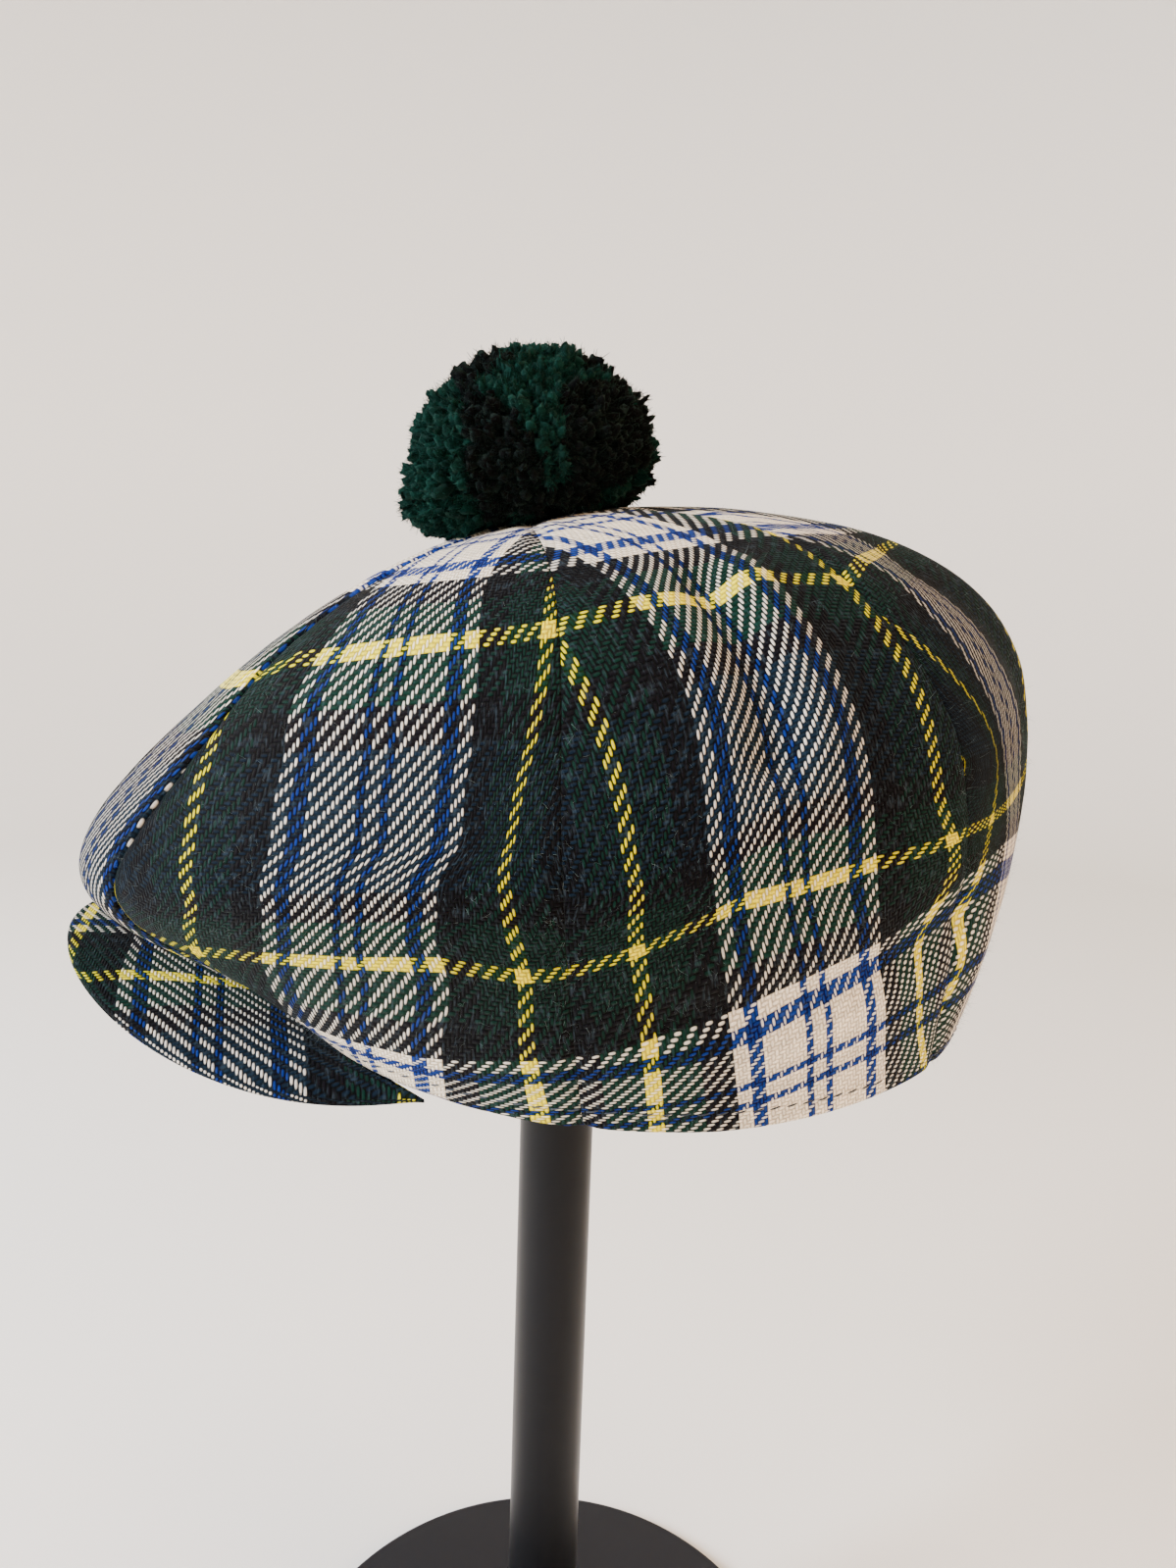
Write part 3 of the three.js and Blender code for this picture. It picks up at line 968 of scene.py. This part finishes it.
@dataclass(frozen=True)
class CrownPanel:
    """One cloth panel, its edges turned in at the seams and its hem turned up inside the rim."""

    name: str
    start: Seam
    end: Seam
    cut: Cut
    form: CrownForm = CrownForm()
    seams: Seams = Seams()
    weft: WeftLines = WeftLines()
    columns: int = 92
    rows: int = 140
    top: float = 0.02
    turned_in: tuple[float, ...] = (2.8, 1.6, 0.5)   # mm that the edge columns dive at a seam
    seam_dip: float = 0.7
    seam_width: float = 2.4
    seam_pucker: float = 0.35
    pucker_width: float = 6.0        # mm from the seam that its puckers reach
    crowding: float = 0.35           # how much closer the columns lie at the seams
    hem_radius: float = 1.5
    hem_depth: float = 14.0
    hem_steps: int = 7
    inside_steps: int = 6
    cloth: float = 1.2
    half_gap: float = 0.05

    def bounds(self, t: Array) -> tuple[Array, Array]:
        """Angles of the two seams, the second past the first."""
        first, last = self.seams.angle(self.start, t), self.seams.angle(self.end, t)
        return (first - 360, last) if self.start is Seam.RIGHT_FRONT else (first, last)

    def shape(self, column: Array, row: Array) -> tuple[Array, Array]:
        """Places and thread counts of the panel's grid.

        Args:
            column: column numbers.
            row: row numbers, from the button down and then up inside.

        Returns:
            Points in mm and thread counts.
        """
        edge_count, hem_start = len(self.turned_in), self.rows
        share = np.clip((column - edge_count) / self.columns, 0, 1)
        share = share - self.crowding * np.sin(2 * np.pi * share) / (2 * np.pi)
        past = np.maximum(edge_count - column, column - edge_count - self.columns)
        dive = np.interp(np.maximum(past, 0), range(edge_count + 1), (0,) + self.turned_in[::-1])
        beyond = np.clip(row - hem_start, 0, None)
        roll = np.pi * np.clip(beyond / self.hem_steps, 0, 1)
        climb = self.hem_depth * np.clip((beyond - self.hem_steps) / self.inside_steps, 0, None)
        t = self.top + (1 - self.top) * np.minimum(row / self.rows, 1) - climb / CROWN_LENGTH

        first, last = self.bounds(t)
        phi = first + (last - first) * share
        base = self.form.point(phi, t)
        outward, down = self.form.directions(phi, t)
        degree = self.form.one_degree(phi, t)
        around = unit(degree)
        edge = np.minimum(share, 1 - share) * (last - first) * np.linalg.norm(degree, axis=1)
        base += around * (self.half_gap * np.where(share < 0.5, 1, -1)
                          * np.exp(-edge / 4))[:, None]
        pucker = (self.seam_pucker * soft_noise(base, 5.5, 20.0)
                  * np.exp(-(edge / self.pucker_width) ** 2))
        dive = dive * np.clip(t / 0.12, 0.1, 1)
        inward = (self.form.sink(base) + pucker
                  + self.seam_dip * np.exp(-(edge / self.seam_width) ** 2)
                  + dive + self.hem_radius * (1 - np.cos(roll)))
        points = (base - outward * inward[:, None]
                  + down * (self.hem_radius * np.sin(roll))[:, None])

        weft = self.weft.threads(phi, np.where(beyond > 0, 1.0, t))
        weft += (self.hem_radius * roll + climb) / THREAD_PITCH
        side = np.where(column < edge_count, -1, 1)
        warp = self.cut.threads(t, self.run(phi, t)) + side * dive / THREAD_PITCH
        return points, np.stack([warp, weft], axis=1)

    def run(self, phi: Array, t: Array) -> Array:
        """Measures round the ring from the panel's middle line.

        Args:
            phi: degrees from the front.
            t: how far down.

        Returns:
            Mm from the middle line to phi.
        """
        share = (np.arange(24) + 0.5) / 24
        middle = self.cut.middle
        total = np.zeros_like(phi)
        for part in share:
            at = middle + (phi - middle) * part
            total += np.linalg.norm(self.form.one_degree(at, t), axis=1)
        return total / len(share) * (phi - middle)

    def build(self, material: bpy.types.Material) -> bpy.types.Object:
        """Makes the panel and gives it its thickness.

        Args:
            material: the cloth.

        Returns:
            The piece.
        """
        mesh = shaped_grid(self.name, self.columns + 2 * len(self.turned_in),
                           self.rows + self.hem_steps + self.inside_steps, self.shape)
        if mesh.polygons[0].normal.dot(mesh.polygons[0].center - Vector((0, 0, 0.3))) < 0:
            mesh.flip_normals()
        piece = finish_piece(self.name + "_cloth", mesh, material, [self.name])
        wall = piece.modifiers.new("cloth", "SOLIDIFY")
        wall.thickness, wall.offset = self.cloth * MM, -1.0
        return piece


@dataclass(frozen=True)
class Nap:
    """Loose fibres that stand off the crown and catch the light at its outline."""

    form: CrownForm = CrownForm()
    count: int = 22000
    shortest: float = 0.8
    longest: float = 3.0
    width: float = 0.05
    top: float = 0.08          # how far down the crown they start
    root: float = 0.2          # mm that they start inside the cloth
    upright: float = 0.5       # pull outwards
    stray: float = 0.55        # pull to any side
    bend: float = 0.45
    seed: int = 11

    def build(self, material: bpy.types.Material) -> bpy.types.Object:
        """Scatters the fibres over the crown.

        Args:
            material: the fibre.

        Returns:
            The piece.
        """
        rng = np.random.default_rng(self.seed)
        phi = rng.uniform(0, 360, self.count)
        t = self.top + (1 - self.top) * np.sqrt(rng.uniform(0, 1, self.count))
        roots = self.form.point(phi, t)
        outward, _ = self.form.directions(phi, t)
        roots -= outward * (self.form.sink(roots) + self.root)[:, None]
        aims = outward * self.upright + rng.normal(size=roots.shape) * self.stray
        spread = rng.uniform(0, 1, self.count) ** 3
        lengths = self.shortest + (self.longest - self.shortest) * spread
        mesh = copied_mesh("wool_nap", hair_pattern(self.bend),
                           hair_frames(rng, roots, aims, lengths, self.width))
        return finish_piece("wool_nap", mesh, material)


@dataclass(frozen=True)
class HemStitches:
    """The row of lock stitches that holds the turned-up hem."""

    form: CrownForm = CrownForm()
    up: float = 5.0            # mm above the rim
    stitch: float = 2.9
    pitch: float = 4.2
    thread: float = 0.2        # mm, radius
    proud: float = 0.1         # mm that its middle line stands off the cloth
    arch: float = 1.6          # thread radii that its ends go in
    samples: int = 1441        # places where the way round the rim is measured

    def stitch_pattern(self) -> bpy.types.Mesh:
        """Makes one stitch.

        Returns:
            A rod a unit long, arched so that its ends go into the cloth.
        """
        bm = six_sided_rod(1.0)
        for vert in bm.verts:
            vert.co.x -= self.arch * (2 * vert.co.z) ** 2
        return to_mesh("stitch_pattern", bm)

    def build(self, material: bpy.types.Material) -> bpy.types.Object:
        """Lays the stitches round the rim.

        Args:
            material: the sewing thread.

        Returns:
            The piece.
        """
        fine = np.linspace(0, 360, self.samples)
        level = np.full_like(fine, 1 - self.up / CROWN_LENGTH)
        ring = self.form.point(fine, level)
        round_mm = np.concatenate([[0], np.cumsum(np.linalg.norm(np.diff(ring, axis=0), axis=1))])
        count = int(round_mm[-1] / self.pitch)
        phi = np.interp(np.arange(count) * round_mm[-1] / count, round_mm, fine)
        t = np.full_like(phi, level[0])
        place = self.form.point(phi, t)
        outward, down = self.form.directions(phi, t)
        place -= outward * (self.form.sink(place) - self.proud)[:, None]
        along = np.cross(outward, down)
        frames = np.stack([outward * self.thread, down * self.thread, along * self.stitch, place],
                          axis=2) * MM
        mesh = copied_mesh("hem_stitches", self.stitch_pattern(), frames)
        return finish_piece("hem_stitches", mesh, material)


# ---------------------------------------------------------------- peak

@dataclass(frozen=True)
class Peak:
    """The stiff peak: cloth wrapped over a board, its two layers meeting in a seam on the edge."""

    form: CrownForm = CrownForm()
    span: float = 65.0         # degrees each side of the front where it is sewn on
    turn: float = 91.0         # degrees each side where its edge comes back to the rim
    half_width: float = 71.0
    reach: float = 119.0
    root_y: float = -27.0
    thickness: float = 3.6
    camber: float = 2.5
    root_drop: float = 2.3
    columns: int = 120
    out_rows: int = 56
    round_rows: int = 12
    groove: float = 0.45       # mm, seam on the outer edge
    corner: float = 0.91       # below 1 squares the edge's corners a little
    edge_z: float = 270.0      # mm, mean height of the edge
    edge_tilt: float = 20.0    # mm that the edge drops to the front
    edge_bow: float = 21.0     # mm that the edge bows
    warp_lines: tuple[float, ...] = (-50.0, -25.8, 25.8, 50.0)   # mm, at the WARP_COUNTS

    def edge(self, turn: Array) -> Array:
        """The outer edge.

        Args:
            turn: degrees from the front.

        Returns:
            Points in mm.
        """
        sine, cosine = np.sin(np.radians(turn)), np.cos(np.radians(turn))
        height = (self.edge_z - self.edge_tilt * cosine
                  + self.edge_bow * np.cos(np.radians(2 * turn)))
        return np.stack([self.half_width * np.sign(sine) * np.abs(sine) ** self.corner,
                         self.root_y - self.reach * cosine, height], axis=-1)

    def shape(self, column: Array, row: Array) -> tuple[Array, Array]:
        """Places and thread counts of the peak's grid.

        Args:
            column: column numbers.
            row: row numbers, over the top, round the edge and back underneath.

        Returns:
            Points in mm and thread counts.
        """
        side = 2 * column / self.columns - 1
        total = 2 * self.out_rows + self.round_rows
        out = np.clip(np.minimum(row, total - row) / self.out_rows, 0, 1)
        bend = np.pi * np.clip((row - self.out_rows) / self.round_rows, 0, 1)
        root = self.form.point(self.span * side, np.ones_like(side))
        root[:, 2] -= self.root_drop
        rim = self.edge(self.turn * side)
        rim = root + (rim - root) * (1 - np.abs(side) ** 26)[:, None]
        middle = root + (rim - root) * out[:, None]
        middle[:, 2] += self.camber * 4 * out * (1 - out) * (1 - side ** 2)
        outward = self.edge(self.turn * side) - root
        outward[:, 2] = 0
        outward = unit(outward)
        half = 0.5 * self.thickness * (1 - 0.35 * out ** 6) * (1 - 0.75 * np.abs(side) ** 10)
        notch = self.groove * np.exp(-((bend - np.pi / 2) / 0.28) ** 2)
        tuck = half * np.sin(bend) - notch
        points = middle + outward * (tuck - half)[:, None] * (out >= 1)[:, None]
        points[:, 2] += half * np.cos(bend)
        x, y = points[:, 0], points[:, 1]
        # The cloth lies askew on the board, and turns down a little faster near the front edge.
        along = 107.2 - 0.417 * x + y - 0.5 * np.maximum(0, -y - 116)
        places = np.broadcast_to(np.array(self.warp_lines), (len(x), len(self.warp_lines)))
        counts = np.broadcast_to(np.array(WARP_COUNTS), places.shape)
        # Cut face down, so its twill runs the other way.
        warp = -rising_curve(places, counts, along)
        weft = 44 + (x - 38.5) + 0.18 * (y + 112) + 2 * bend
        return points, np.stack([warp, weft], axis=1)

    def build(self, material: bpy.types.Material) -> bpy.types.Object:
        """Makes the peak.

        Args:
            material: the cloth.

        Returns:
            The piece.
        """
        mesh = shaped_grid("peak", self.columns, 2 * self.out_rows + self.round_rows, self.shape,
                           weld=True)
        return finish_piece("peak_cloth", mesh, material, ["peak"])


# ---------------------------------------------------------------- pompom

@dataclass(frozen=True)
class Pompom:
    """A half ball of cut yarn ends that leans with the top of the crown."""

    base_y: float = -9.5
    base_z: float = 391.0
    lean: float = 12.0
    ups: tuple[float, ...] = (-2.0, 4.0, 11.0, 19.0, 27.0, 35.0, 41.0, 45.0, 46.5)
    radii: tuple[float, ...] = (24.0, 31.0, 35.0, 35.0, 32.0, 26.0, 18.0, 9.0, 0.0)
    heart: float = 12.0        # mm up the axis where the yarn ends come from
    skirt: float = 6.5         # mm that the ends splay out low at the front
    ends: int = 2300
    length: float = 15.0       # mm of each yarn end, more or less than this by up to one
    yarn: float = 1.6          # mm, radius of a fluffed yarn end
    ragged: float = 0.40       # mm that the fluff strays from a smooth end
    fuzz: int = 92000          # fibres on the yarn ends
    fuzz_length: tuple[float, float] = (1.4, 2.2)   # mm, shortest and the most added to it
    fuzz_width: float = 0.30   # mm
    stray: int = 260           # long loose fibres
    stray_length: float = 4.6  # mm
    # Place about the axis in mm, reach, and how strongly black (or green, if negative).
    clumps: tuple[tuple[float, float, float, float, float], ...] = (
        (30, -4, 16, 12, 1.0), (26, 22, 20, 14, 1.0), (14, -9, 36, 8, 1.0), (20, -24, 16, 16, -1.1),
        (14, -22, 30, 8, -0.8), (24, 10, 32, 11, -1.1), (31, 9, 20, 7, -1.0), (33, 11, 8, 4, -0.8),
        (0, 0, 46, 9, -0.4), (-25, 10, 20, 16, 0.8), (-22, -18, 25, 15, -0.8))
    seed: int = 5

    def lay(self, count: int, rng: np.random.Generator) -> tuple[Array, Array]:
        """Places on the outer form and the ways that the yarn points there.

        Args:
            count: number of places.
            rng: seeded random numbers.

        Returns:
            Places and directions about the pompom's own axis, in mm.
        """
        profile = np.array([self.radii, self.ups]).T
        reach = np.concatenate([[0], np.cumsum(np.linalg.norm(np.diff(profile, axis=0), axis=1))])
        along = np.linspace(0, reach[-1], 400)
        radius, up = (np.interp(along, reach, profile[:, k]) for k in (0, 1))
        area = np.cumsum(radius + 1e-3)
        order = (np.arange(count) + 0.5) / count
        at = np.interp(order, area / area[-1], along)
        golden = np.pi * (3 - math.sqrt(5))
        turn = golden * np.arange(count) + rng.normal(size=count) * 0.05
        radius, up = np.interp(at, along, radius), np.interp(at, along, up)
        forward = np.maximum(0, -np.sin(turn)) ** 2
        radius = radius + self.skirt * forward * np.exp(-((up - 5) / 8) ** 2)
        places = np.stack([radius * np.cos(turn), radius * np.sin(turn), up], axis=1)
        return places, unit(places - np.array([0, 0, self.heart]))

    def to_cap(self, points: Array, place: bool = True) -> Array:
        """Leans points or directions with the pompom.

        Args:
            points: points in mm, or directions, about the pompom's own axis.
            place: moves them to the pompom's place too, as points need.

        Returns:
            The same in the cap's frame.
        """
        lean = np.array(Matrix.Rotation(math.radians(self.lean), 3, "X"))
        moved = points @ lean.T
        return moved + np.array([0, self.base_y, self.base_z]) if place else moved

    def tone(self, places: Array) -> Array:
        """Picks the yarn: small clumps, and larger ones where it was wound.

        Args:
            places: places in mm about the pompom's own axis.

        Returns:
            1 for black and 0 for green.
        """
        push = 0.30 * soft_noise(places, 9, 2.7)
        for x, y, z, reach, black in self.clumps:
            away = np.linalg.norm(places - np.array([x, y, z]), axis=1)
            push += black * np.exp(-(away / reach) ** 2)
        return (push > 0).astype(float)

    def yarn_end(self) -> bpy.types.Mesh:
        """Makes one yarn end.

        Returns:
            A stalk a unit long that swells to a blunt fluffy head.
        """
        bm = six_sided_rod(0.5)
        for vert in bm.verts:
            up = vert.co.z + 0.5
            head = math.sqrt(max(0.0, 1 - ((up - 0.76) / 0.26) ** 2))
            wide = max(0.55 - 0.3 * max(0.0, up - 0.5), head)
            vert.co = (vert.co.x * 2 * wide, vert.co.y * 2 * wide, up)
        return to_mesh("yarn_end", bm)

    def build(self, material: bpy.types.Material) -> list[bpy.types.Object]:
        """Makes the yarn ends and the fine fluff on them.

        Args:
            material: the yarn.

        Returns:
            The two pieces.
        """
        rng = np.random.default_rng(self.seed)
        places, ways = self.lay(self.ends, rng)
        ways = unit(ways + rng.normal(size=ways.shape) * 0.17)
        tones = self.tone(places)
        lengths = self.length + rng.uniform(-1, 1, self.ends)
        poke = rng.normal(size=self.ends) * 1.1 - 1.6
        roots = places + ways * (poke - lengths)[:, None]
        frames = hair_frames(rng, self.to_cap(roots), self.to_cap(ways, False), lengths, 1.0)
        wide = (self.yarn * rng.uniform(0.75, 1.2, self.ends))[:, None] * MM
        frames[:, :, 0] = unit(frames[:, :, 0]) * wide
        frames[:, :, 1] = unit(frames[:, :, 1]) * wide
        pattern = self.yarn_end()
        up = np.array([vert.co.z for vert in pattern.vertices])
        shade_by_end = rng.uniform(0.7, 1.3, self.ends)
        # Painted shade: each yarn end darkens towards its root, deep in the pompom; the share by
        # end is random tone.
        shade = (0.12 + 0.50 * up ** 2)[None, :] * shade_by_end[:, None]
        mesh = copied_mesh("pompom_yarn", pattern, frames, {"tone": tones, "depth": shade})
        ragged = rng.normal(size=(len(mesh.vertices), 3)) * self.ragged * MM
        for vert, shift in zip(mesh.vertices, ragged):
            vert.co += Vector(shift)
        yarn = finish_piece("pompom_yarn", mesh, material, ["pompom"])

        end = rng.integers(0, self.ends, self.fuzz)
        aside = unit(np.cross(ways[end], rng.normal(size=(self.fuzz, 3))))
        reach = np.sqrt(rng.uniform(0, 1, self.fuzz))
        lengths_up = (lengths[end] * (0.97 - 0.22 * reach ** 2))[:, None]
        starts = roots[end] + ways[end] * lengths_up + aside * (self.yarn * 0.95 * reach)[:, None]
        aims = ways[end] + aside * (0.9 * reach)[:, None] + rng.normal(size=starts.shape) * 0.62
        shortest, added = self.fuzz_length
        fibre = shortest + added * rng.uniform(0, 1, self.fuzz) ** 2
        loose = rng.uniform(0, 1, self.fuzz) < self.stray / self.fuzz
        fibre = np.where(loose, self.stray_length, fibre)
        starts -= unit(aims) * 0.25 * fibre[:, None]
        frames = hair_frames(rng, self.to_cap(starts), self.to_cap(aims, False), fibre,
                             self.fuzz_width)
        level = (0.35 + 1.1 * rng.uniform(0, 1, self.fuzz)) * shade_by_end[end]
        mesh = copied_mesh("pompom_fluff", hair_pattern(0.2, 1), frames,
                           {"tone": tones[end], "depth": level})
        return [yarn, finish_piece("pompom_fluff", mesh, material)]


# ---------------------------------------------------------------- stand

@dataclass(frozen=True)
class Stand:
    """A turned steel stand: disc, tube and the low dome that the cap sits on."""

    turn_steps: int = 128
    disc_fillet: float = 1.6
    foot_fillet: float = 1.0   # mm, under the disc
    tube_fillet: float = 0.4
    dome_foot: float = 3.0     # mm, chamfer under the dome
    dome_steps: int = 24
    sharp: float = 40.0        # degrees, faces that meet more sharply keep their edge

    def build(self, coat: bpy.types.Material,
              disc_coat: bpy.types.Material) -> list[bpy.types.Object]:
        """Makes the three pieces at the sizes of their nodes.

        Args:
            coat: finish of the tube and dome.
            disc_coat: finish of the disc.

        Returns:
            The pieces.
        """
        sizes = {}
        for part in ("base", "pole", "head"):
            low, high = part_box("stand_" + part)
            sizes[part] = (high.x / MM, low.z / MM, high.z / MM)
        radius, low, high = sizes["base"]
        disc = rounded([(0, low, 0), (radius, low, self.foot_fillet),
                        (radius, high, self.disc_fillet), (0, high, 0)])
        pole_radius, pole_low, pole_high = sizes["pole"]
        tube = rounded([(0, pole_low, 0), (pole_radius, pole_low, self.tube_fillet),
                        (pole_radius, pole_high, self.tube_fillet), (0, pole_high, 0)])
        reach, dome_low, dome_high = sizes["head"]
        dome = [(0, dome_low), (reach - self.dome_foot, dome_low)]
        for turn in quarter_turn(self.dome_steps):
            rise = (dome_high - dome_low - self.dome_foot) * math.sin(turn)
            dome.append((reach * math.cos(turn), dome_low + self.dome_foot + rise))
        dome[-1] = (0, dome_high)
        made = []
        for part, outline, finish in (("base", disc, disc_coat), ("pole", tube, coat),
                                      ("head", dome, coat)):
            mesh = turned_mesh("stand_" + part, outline, self.turn_steps)
            made.append(finish_piece("stand_%s_coated" % part, mesh, finish,
                                     ["stand_" + part]))
            self.sharpen(made[-1])
        return made

    def sharpen(self, piece: bpy.types.Object) -> None:
        """Keeps the flat faces flat beside the fillets."""
        piece.data.set_sharp_from_angle(angle=math.radians(self.sharp))


# ---------------------------------------------------------------- studio

@dataclass(frozen=True)
class View:
    """The camera, low beside the wearer's left and a little behind the middle."""

    place: tuple[float, float, float] = (319.37, 39.54, 371.22)
    heading: float = 6.0       # degrees round from straight across the cap
    pitch: float = 9.68        # degrees down
    roll: float = 2.01
    lens: float = 26.0

    def build(self) -> None:
        """Makes the camera and hands it to the scene."""
        heading, pitch = math.radians(self.heading), math.radians(self.pitch)
        ahead = Vector((-math.cos(heading) * math.cos(pitch), -math.sin(heading) * math.cos(pitch),
                        -math.sin(pitch)))
        data = bpy.data.cameras.new("camera")
        data.lens, data.sensor_width = self.lens, 36.0
        data.clip_start, data.clip_end = 0.01, 20.0
        camera = bpy.data.objects.new("camera", data)
        camera.location = Vector(self.place) * MM
        camera.rotation_mode = "QUATERNION"
        camera.rotation_quaternion = (ahead.to_track_quat("-Z", "Y")
                                      @ Quaternion((0, 0, 1), math.radians(self.roll)))
        bpy.context.scene.collection.objects.link(camera)
        bpy.context.scene.camera = camera


@dataclass(frozen=True)
class Softbox:
    """One soft studio light."""

    name: str
    place: tuple[float, float, float]
    size: float
    power: float
    colour: str

    def build(self, target: Vector) -> None:
        """Makes the light.

        Args:
            target: the place that it is turned to, in metres.
        """
        data = bpy.data.lights.new(self.name, "AREA")
        data.shape, data.size, data.energy = "DISK", self.size, self.power
        data.color = srgb(self.colour)[:3]
        light = bpy.data.objects.new(self.name, data)
        light.location = self.place
        light.rotation_mode = "QUATERNION"
        light.rotation_quaternion = (target - Vector(self.place)).to_track_quat("-Z", "Y")
        light.visible_camera = False
        bpy.context.scene.collection.objects.link(light)


@dataclass(frozen=True)
class Studio:
    """Pale floor that sweeps up into a round wall, with cool light in front and warm behind."""

    floor_radius: float = 1400.0
    sweep: float = 600.0
    wall: float = 2600.0
    sweep_steps: int = 16
    turn_steps: int = 96
    sky: str = "E8ECF0"
    glow: float = 0.24         # strength of the faint light all round
    lights: tuple[Softbox, ...] = (
        Softbox("cool_front", (0.66, -1.38, 0.98), 0.7, 76.0, "E4EDFF"),
        Softbox("warm_back", (0.85, 1.30, 1.05), 0.8, 17.0, "FFBE7C"),
        Softbox("overhead", (-0.1, 0.2, 1.7), 1.0, 13.0, "FFE8CC"))

    def build(self) -> None:
        """Makes the floor, the wall, the lights and the faint light all round."""
        outline = [(0.0, 0.0), (self.floor_radius, 0.0)]
        for turn in quarter_turn(self.sweep_steps)[1:]:
            outline.append((self.floor_radius + self.sweep * math.sin(turn),
                            self.sweep * (1 - math.cos(turn))))
        outline.append((self.floor_radius + self.sweep, self.wall))
        mesh = turned_mesh("floor", outline, self.turn_steps)
        mesh.flip_normals()
        mesh.shade_smooth()
        mesh.materials.append(StudioPaper().build())
        floor = bpy.data.objects.new("floor", mesh)
        bpy.context.scene.collection.objects.link(floor)
        low, high = CAD_BOX
        target = Vector(((low.x + high.x) / 2, (low.y + high.y) / 2, high.z - 0.1))
        for light in self.lights:
            light.build(target)
        world = bpy.data.worlds.new("studio")
        world.use_nodes = True
        world.node_tree.nodes["Background"].inputs[0].default_value = srgb(self.sky)
        world.node_tree.nodes["Background"].inputs[1].default_value = self.glow
        bpy.context.scene.world = world


def crown_panels() -> list[CrownPanel]:
    """Cuts the six panels.

    Returns:
        The panels, front first and round by the wearer's left.
    """
    return [
        CrownPanel("panel_front", Seam.RIGHT_FRONT, Seam.LEFT_FRONT, Cut(0, FRONT_MIDDLE),
                   weft=WeftLines(lower_yellow=((0.0, 0.80),))),
        CrownPanel("panel_left_front", Seam.LEFT_FRONT, Seam.LEFT_SIDE, Cut(65, FRONT_QUARTER)),
        CrownPanel("panel_left_back", Seam.LEFT_SIDE, Seam.LEFT_BACK, Cut(120, BACK_QUARTER)),
        CrownPanel("panel_back", Seam.LEFT_BACK, Seam.RIGHT_BACK, Cut(180, BACK_MIDDLE)),
        CrownPanel("panel_right_back", Seam.RIGHT_BACK, Seam.RIGHT_SIDE,
                   Cut(240, BACK_QUARTER, mirrored=True)),
        CrownPanel("panel_right_front", Seam.RIGHT_SIDE, Seam.RIGHT_FRONT,
                   Cut(295, FRONT_QUARTER, mirrored=True))]


def main() -> None:
    """Builds the camera, the cap, its stand and the studio, in that order."""
    logging.basicConfig(level=logging.INFO, format="%(name)s %(message)s")
    View().build()
    wool = TartanWool().build()
    for panel in crown_panels():
        panel.build(wool)
    Peak().build(wool)
    HemStitches().build(SewingThread().build())
    Nap().build(LooseFibre().build())
    Pompom().build(PompomYarn().build())
    Stand().build(PowderCoat("satin_black_powder_coat", "040508", 0.34).build(),
                  PowderCoat("matt_charcoal_powder_coat", "1D1D1F", 0.62).build())
    Studio().build()


if __name__ == "__main__":
    main()
